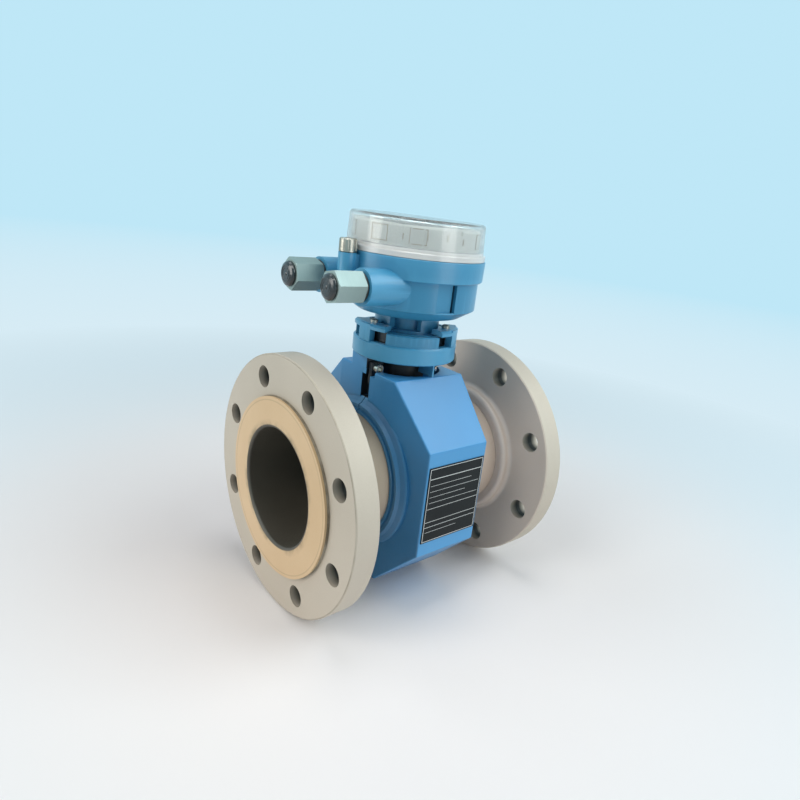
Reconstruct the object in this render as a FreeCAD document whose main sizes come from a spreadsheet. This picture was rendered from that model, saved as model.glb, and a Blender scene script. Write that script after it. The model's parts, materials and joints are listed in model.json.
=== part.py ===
import FreeCAD, Part
import math
import os

import Sketcher

# Electromagnetic flow meter for a 4 inch class 150 line.
# X runs along the pipe from inlet to outlet, -Y is the side with the plate, Z is up.
# The origin is on the pipe axis, halfway between the two sealing faces. Sizes are in mm.

SIZES = [
    # pipe
    ("face_to_face", 250.0, "sealing face to sealing face"),
    ("bolt_circle", 190.5, "bolt circle diameter"),
    ("bolt_hole", 19.05, "bolt hole diameter"),
    ("bolt_count", 8, "bolt holes in one flange"),
    ("bolt_edge", 19.05, "bolt hole centre to flange rim"),
    ("flange_plate", 21.9, "flange plate thickness"),
    ("face_inset", 33.3, "bolt circle diameter less raised face diameter"),
    ("raised_face", 2.0, "raised face height"),
    ("liner_flare", 2.0, "thickness of the liner turned out over the raised face"),
    ("hub_wall", 10.35, "flange hub wall round the tube"),
    ("hub_root", 4.2, "rounding between hub and plate"),
    ("hub_nose", 5.0, "rounding of the hub's end"),
    ("edge_break", 1.0, "chamfer on the flange edges"),
    ("tube_od", 114.3, "measuring tube outside diameter"),
    ("tube_wall", 2.6, "measuring tube wall"),
    ("liner_wall", 2.45, "liner thickness in the tube"),
    ("mouth_round", 2.3, "rounding of the liner's mouths"),
    ("fit_gap", 0.1, "gap between fitted pieces"),
    # electrodes
    ("electrode_shaft", 5.0, "electrode shaft diameter"),
    ("electrode_head", 11.0, "electrode head diameter"),
    ("head_sink", 1.3, "depth that an electrode head is let into the liner"),
    ("electrode_proud", 12.85, "electrode length outside the tube"),
    ("level_angle", 45.0, "angle of the level electrode over the measuring electrodes"),
    ("bush_wall", 1.5, "wall of the bush in the tube's hole"),
    ("bush_lip", 2.0, "reach of the bush flange past its spigot"),
    ("bush_height", 4.0, "electrode bush flange height"),
    ("nut_wall", 2.5, "electrode nut wall at its flats"),
    ("nut_height", 4.0, "electrode nut height"),
    # magnet circuit
    ("coil_bore", 18.0, "field coil bore"),
    ("coil_build", 15.0, "thickness of the coil's winding"),
    ("coil_seat", 0.75, "gap between pole shoe and coil"),
    ("coil_height", 14.5, "field coil height"),
    ("shoe_length", 50.0, "pole shoe length along the pipe"),
    ("shoe_thickness", 3.0, "pole shoe thickness"),
    ("shoe_angle", 64.0, "angle that a pole shoe covers"),
    ("yoke_room", 4.5, "room between coil and return yoke"),
    ("yoke_thickness", 2.0, "return yoke thickness"),
    ("yoke_width", 44.0, "return yoke width along the pipe"),
    # sensor housing
    ("shell_wall", 4.5, "housing wall"),
    ("side_room", 2.5, "room between yoke and housing side"),
    ("roof_room", 1.8, "room between yoke and housing ceiling"),
    ("end_room", 4.5, "room between coil and housing end"),
    ("roof_skin", 4.2, "thickness under the housing's top pocket"),
    ("pocket_depth", 10.0, "depth of the housing's top pocket"),
    ("pocket_od", 71.0, "diameter of the housing's top pocket"),
    ("crown_half", 40.0, "half width of the flat top"),
    ("joint_gap", 0.5, "half of the gap that the housing gasket fills"),
    ("knee_draft", 0.5, "draft from the joint to the shoulder, per end"),
    ("side_draft", 5.5, "draft from the shoulder to the side, per end"),
    ("shell_round", 1.6, "rounding of the housing's outer edges"),
    ("channel_depth", 7.5, "depth of the joint channel"),
    ("channel_half", 6.0, "half width of the joint channel"),
    ("channel_head", 4.5, "distance of the joint channel's end from the top"),
    ("collar_wall", 14.55, "wall of the housing collar at its foot"),
    ("collar_lip", 4.0, "length of the collar lip past the tube seal"),
    ("collar_gap", 0.3, "gap between the collar and the tube"),
    ("seal_reach", 2.5, "reach of the tube seal's seat past the housing's end"),
    ("seal_build", 5.75, "thickness of the tube seal"),
    ("seal_width", 4.0, "tube seal width"),
    ("notch_reach", 12.5, "reach of the screw notches towards the front"),
    ("notch_depth", 5.0, "depth of the screw notches"),
    ("ear_half", 5.2, "half width of the screw ears"),
    ("ear_rise", 4.8, "height of the screw ears over the screws"),
    ("ear_thickness", 5.0, "thickness of the front screw ears"),
    ("screw_inset", 7.3, "distance of the shell screws from the housing's end"),
    ("screw_rise", 2.0, "height of the shell screws over the flat top"),
    ("shell_screw", 5.0, "shell screw shank diameter"),
    ("shell_screw_head", 8.5, "shell screw head diameter"),
    ("shell_screw_long", 12.0, "shell screw length in the rear shell"),
    ("neck_gap", 12.6, "height of the neck disc over the flat top"),
    ("plate_margin", 2.2, "margin beside the identification plate"),
    ("plate_drop", 13.2, "margin over and under the identification plate"),
    ("plate_thickness", 0.8, "identification plate thickness"),
    # neck
    ("neck_od", 95.0, "neck disc diameter"),
    ("neck_disc", 15.4, "neck disc thickness"),
    ("neck_pipe_bore", 28.0, "bore of the neck's cable pipe"),
    ("neck_pipe_wall", 3.0, "wall of the neck's cable pipe"),
    ("neck_pipe_dip", 13.0, "reach of the cable pipe below the flat top"),
    ("sleeve_wall", 3.5, "wall of the sleeve round the cable pipe"),
    ("rib_thickness", 1.8, "thickness of the rib under the neck disc"),
    ("rib_offset", 3.0, "distance of the rib from the neck's middle plane"),
    ("rib_reach", 40.5, "reach of the rib towards the front"),
    ("journal_wall", 7.9, "wall of the journal that the transmitter turns on"),
    ("journal_height", 4.7, "height of the journal over the neck disc"),
    ("neck_seal_cord", 2.4, "neck seal cord diameter"),
    ("neck_seal_land", 2.9, "journal to neck seal"),
    ("ring_wall", 4.5, "wall of the collar segments on the neck disc"),
    ("ring_gap", 2.5, "gap between the collar segments and the turning flange"),
    ("ring_height", 9.6, "height of the collar segments"),
    ("ring_angle", 62.0, "angle of one collar segment"),
    ("claw_count", 3, "claws around the neck"),
    ("claw_angle", 19.0, "angle of one claw"),
    ("hood_angle", 56.0, "angle of one claw's hood"),
    ("hood_lap", 4.5, "lap of the hoods over the turning flange"),
    ("hood_thickness", 4.7, "thickness of the hoods"),
    ("hood_round", 2.0, "chamfer on the hoods' outer edge"),
    ("securing_inset", 1.0, "distance of the securing screws from the turning flange's rim"),
    ("securing_screw", 4.0, "securing screw diameter"),
    # transmitter
    ("flange_ring_od", 77.0, "transmitter's turning flange diameter"),
    ("flange_ring", 9.5, "turning flange thickness"),
    ("turn_gap", 0.3, "gap under the turning flange"),
    ("catch_gap", 0.5, "gap between the turning flange and the hoods"),
    ("column_gap", 4.6, "gap between the column and the hoods"),
    ("column_height", 15.2, "height of the column over the turning flange"),
    ("column_bore", 24.0, "cable bore in the transmitter column"),
    ("column_pocket", 8.0, "depth of the pocket in the column"),
    ("column_pocket_angle", 56.0, "angle of the pocket in the column"),
    ("column_pocket_azimuth", -132.0, "azimuth of the pocket in the column"),
    ("body_od", 119.0, "transmitter body diameter"),
    ("body_cone", 12.5, "inset of the body's underside"),
    ("cone_height", 8.0, "height of the body's lower cone"),
    ("barrel_height", 25.0, "height of the body's plain barrel"),
    ("band_step", 3.5, "step from the barrel to the rim band"),
    ("band_flare", 0.4, "widening of the rim band towards its top"),
    ("band_height", 17.9, "height of the rim band"),
    ("spigot_step", 2.3, "inset of the threaded spigot"),
    ("spigot_height", 6.1, "height of the threaded spigot"),
    ("body_wall", 5.5, "transmitter body wall"),
    ("floor_rise", 4.0, "height of the inner floor over the body's underside"),
    ("entry_y", 30.7, "half distance between the cable entries"),
    ("entry_drop", 7.5, "distance of the cable entries below the rim band"),
    ("entry_thread", 20.0, "cable entry thread diameter"),
    ("entry_depth", 22.0, "cable entry thread depth"),
    ("boss_wall", 5.0, "wall of the cable entry bosses"),
    ("boss_reach", 17.5, "reach of the bosses past the barrel"),
    ("boss_long", 41.0, "length of the cable entry bosses"),
    ("passage", 15.0, "wire passage diameter behind the thread"),
    ("flat_depth", 3.0, "depth of the flats beside the bosses"),
    ("flat_reach", 24.0, "reach of the flats towards the bosses"),
    ("flat_groove", 2.2, "width of the groove that ends a flat"),
    ("groove_depth", 1.6, "depth of that groove below the flat"),
    ("post_od", 15.0, "clamp post diameter"),
    ("post_rise", 1.0, "height of the clamp post's underside over the band's lower edge"),
    ("post_drop", 2.3, "distance of the clamp post's top below the rim"),
    ("clamp_gap", 0.7, "gap between the clamp screw and the cover"),
    ("clamp_head_od", 14.8, "clamp screw head diameter"),
    ("clamp_head", 11.1, "clamp screw head height"),
    ("clamp_shank", 6.0, "clamp screw shank diameter"),
    ("knurl_count", 12, "grooves around the clamp screw head"),
    ("knurl_groove", 1.8, "width of a groove in the clamp screw head"),
    # cable entries
    ("hex_wall", 2.0, "cable adapter wall outside its thread, at the flats"),
    ("hex_length", 25.5, "cable adapter length outside the boss"),
    ("hex_break", 0.9, "chamfer on the adapter's corners"),
    ("adapter_seal", 2.3, "gap that the adapter seal fills"),
    ("adapter_wall", 1.9, "wall of the adapter's threaded shank"),
    ("front_hex_turn", -11.6, "turn of the front adapter about its axis"),
    ("rear_hex_turn", 16.5, "turn of the rear adapter about its axis"),
    ("plug_lip", 2.4, "reach of the blanking plug's head past the bore"),
    ("plug_dome", 3.8, "height of the blanking plug's head"),
    ("plug_depth", 16.0, "length of the blanking plug inside the adapter"),
    # cover and electronics
    ("cover_gap", 0.4, "gap under the cover"),
    ("cover_ring", 4.9, "height of the cover's lower ring"),
    ("ring_inset", 0.7, "inset of the cover ring from the rim band"),
    ("cover_foot", 1.1, "reach of the cover wall's foot past the barrel"),
    ("thread_gap", 0.3, "gap between spigot and cover thread"),
    ("cover_wall", 2.4, "cover wall"),
    ("cover_round", 3.0, "rounding of the cover's crown"),
    ("seal_cord", 1.9, "cover seal cord diameter"),
    ("seal_inset", 2.6, "distance from the cover's thread to its seal"),
    ("carrier_gap", 0.6, "gap between the carrier and the body"),
    ("drum_gap", 1.3, "gap between the carrier drum and the cover"),
    ("rim_step", 0.6, "reach of the carrier's rim past its drum"),
    ("carrier_wall", 2.5, "electronics carrier wall"),
    ("carrier_height", 18.5, "height of the carrier over the spigot"),
    ("board_rise", 2.5, "height of the circuit board over the carrier's lower edge"),
    ("board_thickness", 1.6, "circuit board thickness"),
    ("display_width", 72.0, "display module width"),
    ("display_depth", 54.0, "display module depth"),
    ("display_thickness", 3.6, "display module thickness"),
    ("display_room", 1.6, "room between the display and the cover"),
    ("terminal_length", 64.0, "terminal block length"),
    ("terminal_width", 18.0, "terminal block width"),
    ("terminal_height", 15.0, "terminal block height"),
]

os.makedirs("parts", exist_ok=True)
doc = FreeCAD.newDocument("flow_meter")
dims = doc.addObject("Spreadsheet::Sheet", "Dims")
for line, (alias, number, meaning) in enumerate(SIZES, start=1):
    dims.set("A%d" % line, meaning)
    dims.set("B%d" % line, str(number))
    dims.setAlias("B%d" % line, alias)
doc.recompute()


class Size:
    """A size with the sheet formula that gives it and its present value."""

    def __init__(self, formula, value):
        self.formula = formula
        self.value = value

    def __add__(self, other):
        other = size(other)
        return Size("(%s + %s)" % (self.formula, other.formula), self.value + other.value)

    def __sub__(self, other):
        other = size(other)
        return Size("(%s - %s)" % (self.formula, other.formula), self.value - other.value)

    def __mul__(self, other):
        other = size(other)
        return Size("(%s * %s)" % (self.formula, other.formula), self.value * other.value)

    def __truediv__(self, other):
        other = size(other)
        return Size("(%s / %s)" % (self.formula, other.formula), self.value / other.value)

    def __radd__(self, other):
        return size(other) + self

    def __rsub__(self, other):
        return size(other) - self

    def __rmul__(self, other):
        return size(other) * self

    def __rtruediv__(self, other):
        return size(other) / self

    def __neg__(self):
        return Size("(-1 * %s)" % self.formula, -self.value)


def size(thing):
    """Give back a Size, made from a plain number where needed."""
    if isinstance(thing, Size):
        return thing
    return Size("%.6f" % thing, float(thing))


def cosine(angle):
    """Cosine of an angle in degrees, as a Size."""
    angle = size(angle)
    return Size("cos(%s * 1deg)" % angle.formula, math.cos(math.radians(angle.value)))


def sine(angle):
    """Sine of an angle in degrees, as a Size."""
    angle = size(angle)
    return Size("sin(%s * 1deg)" % angle.formula, math.sin(math.radians(angle.value)))


D = {alias: Size("Dims.%s" % alias, float(number)) for alias, number, _ in SIZES}

# Sizes that follow from the ones in the sheet.
D["flange_od"] = D["bolt_circle"] + 2 * D["bolt_edge"]
D["raised_face_od"] = D["bolt_circle"] - D["face_inset"]
D["hub_od"] = D["tube_od"] + 2 * D["hub_wall"]
D["hub_length"] = D["hub_root"] + D["hub_nose"] + 0.2
D["liner_bore"] = D["tube_od"] - 2 * (D["tube_wall"] + D["fit_gap"] + D["liner_wall"])
D["electrode_end"] = D["tube_od"] / 2 + D["electrode_proud"]
D["bush_spigot"] = D["electrode_shaft"] + 2 * D["bush_wall"]
D["bush_od"] = D["bush_spigot"] + 2 * D["bush_lip"]
D["nut_width"] = D["electrode_shaft"] + 2 * D["nut_wall"]
D["coil_od"] = D["coil_bore"] + 2 * D["coil_build"]
D["coil_base"] = D["tube_od"] / 2 + D["fit_gap"] + D["shoe_thickness"] + D["coil_seat"]
D["yoke_bore"] = 2 * (D["coil_base"] + D["coil_height"] + D["yoke_room"])
D["yoke_od"] = D["yoke_bore"] + 2 * D["yoke_thickness"]

D["shell_reach"] = D["yoke_od"] / 2 + D["side_room"] + D["shell_wall"]
D["cavity_top"] = D["yoke_od"] / 2 + D["roof_room"]
D["pocket_floor"] = D["cavity_top"] + D["roof_skin"]
D["shell_crown"] = D["pocket_floor"] + D["pocket_depth"]
D["shell_side"] = D["shell_crown"] + D["crown_half"] - D["shell_reach"]
D["cavity_half"] = D["coil_od"] / 2 + D["end_room"]
D["channel_floor"] = D["cavity_half"] + D["shell_wall"]
D["shell_mid"] = D["channel_floor"] + D["channel_depth"]
D["shell_knee"] = D["shell_mid"] - D["knee_draft"]
D["shell_face"] = D["shell_knee"] - D["side_draft"]
D["relief_od"] = D["tube_od"] + 2 * (D["seal_build"] + D["fit_gap"])
D["relief_reach"] = D["shell_mid"] + D["seal_reach"]
D["collar_reach"] = D["relief_reach"] + D["collar_lip"]
D["collar_od"] = D["tube_od"] + 2 * (D["collar_gap"] + D["collar_wall"])
D["channel_start"] = D["relief_od"] / 2 - 1
D["channel_end"] = D["shell_crown"] - D["channel_head"]
D["notch_floor"] = D["shell_crown"] - D["notch_depth"]
D["shell_screw_x"] = D["shell_mid"] - D["screw_inset"]
D["shell_screw_z"] = D["shell_crown"] + D["screw_rise"]
D["notch_half"] = D["shell_screw_x"] - D["ear_half"] - 1
D["ear_inner"] = D["shell_screw_x"] - D["ear_half"]
D["ear_outer"] = D["shell_screw_x"] + D["ear_half"]
D["ear_top"] = D["shell_screw_z"] + D["ear_rise"]
D["foot_top"] = D["shell_crown"] + D["neck_gap"]
D["foot_od"] = D["neck_od"] - 2
D["plate_width"] = 2 * (D["shell_face"] - D["plate_margin"])
D["plate_height"] = 2 * (D["shell_side"] - D["plate_drop"])

D["neck_top"] = D["foot_top"] + D["neck_disc"]
D["neck_pipe_od"] = D["neck_pipe_bore"] + 2 * D["neck_pipe_wall"]
D["neck_pipe_end"] = D["shell_crown"] - D["neck_pipe_dip"]
D["journal_od"] = D["neck_pipe_bore"] + 2 * D["journal_wall"]
D["journal_top"] = D["neck_top"] + D["journal_height"]
D["neck_seal_circle"] = D["journal_od"] + 2 * D["neck_seal_land"] + D["neck_seal_cord"]
D["catch_bore"] = D["flange_ring_od"] + 2 * D["ring_gap"]
D["collar_ring_od"] = D["catch_bore"] + 2 * D["ring_wall"]
D["collar_ring_top"] = D["neck_top"] + D["ring_height"]
D["hood_bore"] = D["flange_ring_od"] - 2 * D["hood_lap"]
D["flange_ring_base"] = D["neck_top"] + D["turn_gap"]
D["flange_ring_top"] = D["flange_ring_base"] + D["flange_ring"]
D["hood_base"] = D["flange_ring_top"] + D["catch_gap"]
D["hood_top"] = D["hood_base"] + D["hood_thickness"]
D["securing_circle"] = D["flange_ring_od"] - 2 * D["securing_inset"]

D["column_od"] = D["hood_bore"] - 2 * D["column_gap"]
D["body_base"] = D["flange_ring_top"] + D["column_height"]
D["body_base_od"] = D["body_od"] - 2 * D["body_cone"]
D["body_shoulder"] = D["body_base"] + D["cone_height"]
D["band_base"] = D["body_shoulder"] + D["barrel_height"]
D["band_od"] = D["body_od"] + 2 * D["band_step"]
D["band_top_od"] = D["band_od"] + 2 * D["band_flare"]
D["band_top"] = D["band_base"] + D["band_height"]
D["spigot_od"] = D["body_od"] - 2 * D["spigot_step"]
D["spigot_top"] = D["band_top"] + D["spigot_height"]
D["body_bore"] = D["body_od"] - 2 * D["body_wall"]
D["body_floor"] = D["body_base"] + D["floor_rise"]
D["entry_z"] = D["band_base"] - D["entry_drop"]
D["boss_od"] = D["entry_thread"] + 2 * D["boss_wall"]
D["boss_end"] = D["body_od"] / 2 + D["boss_reach"]
D["boss_root"] = D["boss_end"] - D["boss_long"]
D["side_flat"] = D["body_od"] / 2 - D["flat_depth"]
D["side_flat_base"] = D["body_shoulder"] + 1
D["post_base"] = D["band_base"] + D["post_rise"]
D["post_top"] = D["band_top"] - D["post_drop"]
D["cover_ring_od"] = D["band_top_od"] - 2 * D["ring_inset"]
D["post_x"] = (D["cover_ring_od"] + D["clamp_head_od"]) / 2 + D["clamp_gap"]

D["hex_width"] = D["entry_thread"] + 2 * D["hex_wall"]
D["hex_back"] = D["boss_end"] + D["adapter_seal"]
D["hex_front"] = D["hex_back"] + D["hex_length"]
D["adapter_bore"] = D["entry_thread"] - 2 * (D["fit_gap"] + D["adapter_wall"])
D["plug_od"] = D["adapter_bore"] + 2 * D["plug_lip"]

D["cover_base"] = D["band_top"] + D["cover_gap"]
D["cover_ring_top"] = D["cover_base"] + D["cover_ring"]
D["cover_od"] = D["body_od"] + 2 * D["cover_foot"]
D["cover_crown_od"] = D["body_od"]
D["cover_thread"] = D["spigot_od"] + 2 * D["thread_gap"]
D["seal_circle"] = D["cover_thread"] + 2 * D["seal_inset"]
D["carrier_plug_od"] = D["body_bore"] - 2 * D["carrier_gap"]
D["carrier_base"] = D["entry_z"] + D["boss_od"] / 2 + 1
D["carrier_od"] = D["cover_crown_od"] - 2 * (D["cover_wall"] + D["drum_gap"])
D["carrier_rim_od"] = D["carrier_od"] + 2 * D["rim_step"]
D["carrier_top"] = D["spigot_top"] + D["carrier_height"]
D["board_z"] = D["carrier_base"] + D["board_rise"]
D["display_top"] = D["carrier_top"] + D["display_thickness"] - 1.1
D["cover_top"] = D["display_top"] + D["display_room"] + D["cover_wall"]


def new_body(name):
    """Start an empty PartDesign body."""
    return doc.addObject("PartDesign::Body", name)


def origin_part(body, role):
    """Find an origin plane or axis of the body."""
    return [item for item in body.Origin.OriginFeatures if item.Role == role][0]


def new_sketch(body, name, plane, offset=0):
    """Attach a sketch to an origin plane, moved along the plane's normal."""
    sketch = body.newObject("Sketcher::SketchObject", name)
    sketch.AttachmentSupport = [(origin_part(body, plane), "")]
    sketch.MapMode = "FlatFace"
    offset = size(offset)
    if offset.value != 0:
        sketch.setExpression("AttachmentOffset.Base.z", offset.formula)
    return sketch


def fix_point(sketch, geometry, point, across, along):
    """Hold one point of a sketch at a position given by two sizes."""
    for amount, kind, axis in ((across, "DistanceX", -2), (along, "DistanceY", -1)):
        amount = size(amount)
        if abs(amount.value) < 1e-9:
            sketch.addConstraint(Sketcher.Constraint("PointOnObject", geometry, point, axis))
            continue
        if amount.value > 0:
            held = Sketcher.Constraint(kind, -1, 1, geometry, point, amount.value)
            formula = amount.formula
        else:
            held = Sketcher.Constraint(kind, geometry, point, -1, 1, -amount.value)
            formula = (-amount).formula
        index = sketch.addConstraint(held)
        sketch.setExpression("Constraints[%d]" % index, formula)


def add_outline(sketch, points):
    """Draw a closed outline of straight lines through the points."""
    points = [(size(a), size(b)) for a, b in points]
    corners = [FreeCAD.Vector(a.value, b.value, 0) for a, b in points]
    first = sketch.GeometryCount
    count = len(corners)
    for step in range(count):
        following = corners[(step + 1) % count]
        sketch.addGeometry(Part.LineSegment(corners[step], following), False)
    for step in range(count):
        following = first + (step + 1) % count
        sketch.addConstraint(Sketcher.Constraint("Coincident", first + step, 2, following, 1))
    for step, (across, along) in enumerate(points):
        fix_point(sketch, first + step, 1, across, along)


def add_circle(sketch, across, along, diameter):
    """Draw a circle."""
    across = size(across)
    along = size(along)
    diameter = size(diameter)
    middle = FreeCAD.Vector(across.value, along.value, 0)
    index = sketch.addGeometry(Part.Circle(middle, FreeCAD.Vector(0, 0, 1), diameter.value / 2))
    fix_point(sketch, index, 3, across, along)
    held = sketch.addConstraint(Sketcher.Constraint("Radius", index, diameter.value / 2))
    sketch.setExpression("Constraints[%d]" % held, (diameter / 2).formula)


def add_box(sketch, left, low, right, high):
    """Draw a rectangle."""
    add_outline(sketch, [(left, low), (right, low), (right, high), (left, high)])


def spin(body, name, plane, points, axis, angle=360, cut=False, azimuth=0):
    """Revolve an outline about an axis of the body, or cut with it."""
    sketch = new_sketch(body, name + "_outline", plane)
    azimuth = size(azimuth)
    if azimuth.value != 0:
        turned = FreeCAD.Rotation(FreeCAD.Vector(0, 1, 0), azimuth.value)
        sketch.AttachmentOffset = FreeCAD.Placement(FreeCAD.Vector(0, 0, 0), turned)
        sketch.setExpression("AttachmentOffset.Rotation.Angle", azimuth.formula)
    add_outline(sketch, points)
    kind = "PartDesign::Groove" if cut else "PartDesign::Revolution"
    feature = body.newObject(kind, name)
    feature.Profile = sketch
    feature.ReferenceAxis = (origin_part(body, axis), [""])
    angle = size(angle)
    if angle.value < 360:
        feature.Midplane = True
        feature.setExpression("Angle", angle.formula)
    else:
        feature.Angle = 360
    doc.recompute()
    return feature


def extrude(body, name, sketch, length=None, both=False, turned=False, cut=False):
    """Pad or pocket a sketch; with no length a pocket goes through everything."""
    feature = body.newObject("PartDesign::Pocket" if cut else "PartDesign::Pad", name)
    feature.Profile = sketch
    if both:
        feature.SideType = "Symmetric"
    if length is None:
        feature.Type = "ThroughAll"
    else:
        feature.setExpression("Length", size(length).formula)
    feature.Reversed = turned
    doc.recompute()
    return feature


def circle_pattern(body, name, features, axis, count):
    """Repeat features around an axis."""
    pattern = body.newObject("PartDesign::PolarPattern", name)
    pattern.Originals = features
    pattern.Axis = (origin_part(body, axis), [""])
    pattern.Angle = 360
    pattern.setExpression("Occurrences", size(count).formula)
    body.Tip = pattern
    doc.recompute()
    return pattern


def mirror_feature(body, name, features, plane):
    """Mirror features across an origin plane."""
    mirrored = body.newObject("PartDesign::Mirrored", name)
    mirrored.Originals = features
    mirrored.MirrorPlane = (origin_part(body, plane), [""])
    body.Tip = mirrored
    doc.recompute()
    return mirrored


def chosen_edges(feature, wanted):
    """Name the edges whose middle and shape satisfy a test."""
    names = []
    for number, edge in enumerate(feature.Shape.Edges, start=1):
        if wanted(edge):
            names.append("Edge%d" % number)
    return names


def round_edges(body, name, wanted, radius, chamfer=False):
    """Fillet or chamfer the chosen edges of the body's tip."""
    tip = body.Tip
    kind = "PartDesign::Chamfer" if chamfer else "PartDesign::Fillet"
    names = chosen_edges(tip, wanted)
    feature = body.newObject(kind, name)
    feature.Base = (tip, names)
    feature.setExpression("Size" if chamfer else "Radius", size(radius).formula)
    doc.recompute()
    return feature


def is_ring(edge, axis, position, radius):
    """True for a full circle about an axis at a position along it."""
    if not isinstance(edge.Curve, Part.Circle):
        return False
    middle = edge.Curve.Center
    along = getattr(middle, axis)
    return abs(along - position) < 0.05 and abs(edge.Curve.Radius - radius) < 0.05


def move_body(body, x=0, y=0, z=0, axis=None, angle=0):
    """Place a body, with its position and turn bound to the sheet."""
    if axis is not None:
        body.Placement.Rotation = FreeCAD.Rotation(FreeCAD.Vector(*axis), size(angle).value)
        body.setExpression("Placement.Rotation.Angle", size(angle).formula)
    for letter, amount in (("x", x), ("y", y), ("z", z)):
        amount = size(amount)
        if amount.value != 0:
            body.setExpression("Placement.Base.%s" % letter, amount.formula)
    doc.recompute()


def hexagon(sketch, width):
    """Draw a hexagon about the sketch's origin, with a corner on its first axis."""
    reach = size(width) / (2 * cosine(30))
    add_outline(sketch, [(reach * cosine(60 * step), reach * sine(60 * step)) for step in range(6)])


NODES = []


def finish(item, name):
    """Register a finished piece for export."""
    item.Label = name
    NODES.append((name, item))


def group(name, bodies):
    """Put identical fasteners into one compound."""
    bunch = doc.addObject("Part::Compound", name)
    bunch.Links = bodies
    doc.recompute()
    finish(bunch, name)


# ---------------------------------------------------------------- pipe
half_length = D["face_to_face"] / 2
sealing_x = half_length - D["liner_flare"]
plate_front = sealing_x - D["raised_face"]
plate_back = plate_front - D["flange_plate"]
hub_end = plate_back - D["hub_length"]
tube_r = D["tube_od"] / 2
tube_bore_r = tube_r - D["tube_wall"]
bore_r = D["liner_bore"] / 2


def build_flange(name, side):
    """Slip-on flange with a raised face, a short rounded hub and bolt holes."""
    body = new_body(name)
    inner = tube_r + D["fit_gap"]
    rim = D["flange_od"] / 2
    face = D["raised_face_od"] / 2
    cut = D["edge_break"]
    spin(body, name + "_blank", "XZ_Plane", [
        (side * hub_end, inner),
        (side * sealing_x, inner),
        (side * sealing_x, face),
        (side * plate_front, face),
        (side * plate_front, rim - cut),
        (side * (plate_front - cut), rim),
        (side * (plate_back + cut), rim),
        (side * plate_back, rim - cut),
        (side * plate_back, D["hub_od"] / 2),
        (side * hub_end, D["hub_od"] / 2),
    ], "X_Axis")
    hole = new_sketch(body, name + "_hole_outline", "YZ_Plane")
    reach = D["bolt_circle"] / 2
    start = 180 / D["bolt_count"]
    add_circle(hole, reach * cosine(start), reach * sine(start), D["bolt_hole"])
    drilled = extrude(body, name + "_hole", hole, both=True, cut=True)
    circle_pattern(body, name + "_holes", [drilled], "X_Axis", D["bolt_count"])
    hub_r = D["hub_od"].value / 2
    root_x = side * plate_back.value
    end_x = side * hub_end.value
    round_edges(body, name + "_hub_root", lambda e: is_ring(e, "x", root_x, hub_r), D["hub_root"])
    round_edges(body, name + "_hub_nose", lambda e: is_ring(e, "x", end_x, hub_r), D["hub_nose"])
    finish(body, name)


build_flange("inlet_flange", -1)
build_flange("outlet_flange", 1)


def electrode_holes(body, name, diameter):
    """Cross holes for the measuring electrodes and for the level and reference ones."""
    across = new_sketch(body, name + "_outline", "XZ_Plane")
    add_circle(across, 0, 0, diameter)
    drilled = extrude(body, name + "_across", across, both=True, cut=True)
    pattern = circle_pattern(body, name + "_set", [drilled], "X_Axis", 2)
    pattern.setExpression("Angle", D["level_angle"].formula)
    doc.recompute()


tube = new_body("measuring_tube")
spin(tube, "tube_wall_ring", "XZ_Plane", [
    (-sealing_x, tube_bore_r), (sealing_x, tube_bore_r), (sealing_x, tube_r), (-sealing_x, tube_r),
], "X_Axis")
electrode_holes(tube, "tube_hole", D["bush_spigot"] + 2 * D["fit_gap"])
finish(tube, "measuring_tube")

liner = new_body("liner")
liner_r = tube_bore_r - D["fit_gap"]
flare_back = sealing_x + 0.05
flare_r = D["raised_face_od"] / 2 - 0.1
spin(liner, "liner_sleeve", "XZ_Plane", [
    (-half_length, bore_r), (half_length, bore_r), (half_length, flare_r), (flare_back, flare_r),
    (flare_back, liner_r), (-flare_back, liner_r), (-flare_back, flare_r), (-half_length, flare_r),
], "X_Axis")
electrode_holes(liner, "liner_hole", D["electrode_shaft"] + 2 * D["fit_gap"])
for side in (-1, 1):
    recess = new_sketch(liner, "head_recess_outline_%d" % (side + 1), "XZ_Plane")
    add_circle(recess, 0, 0, D["electrode_head"] + 2 * D["fit_gap"])
    sunk = extrude(liner, "head_recess_%d" % (side + 1), recess, bore_r + D["head_sink"],
                   turned=side < 0, cut=True)
    recesses = circle_pattern(liner, "head_recesses_%d" % (side + 1), [sunk], "X_Axis", 2)
    recesses.setExpression("Angle", D["level_angle"].formula)
    doc.recompute()
for side in (-1, 1):
    edge_x = side * half_length.value
    round_edges(liner, "liner_mouth_%d" % (side + 1),
                lambda e, x=edge_x: is_ring(e, "x", x, bore_r.value), D["mouth_round"])
finish(liner, "liner")


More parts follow.
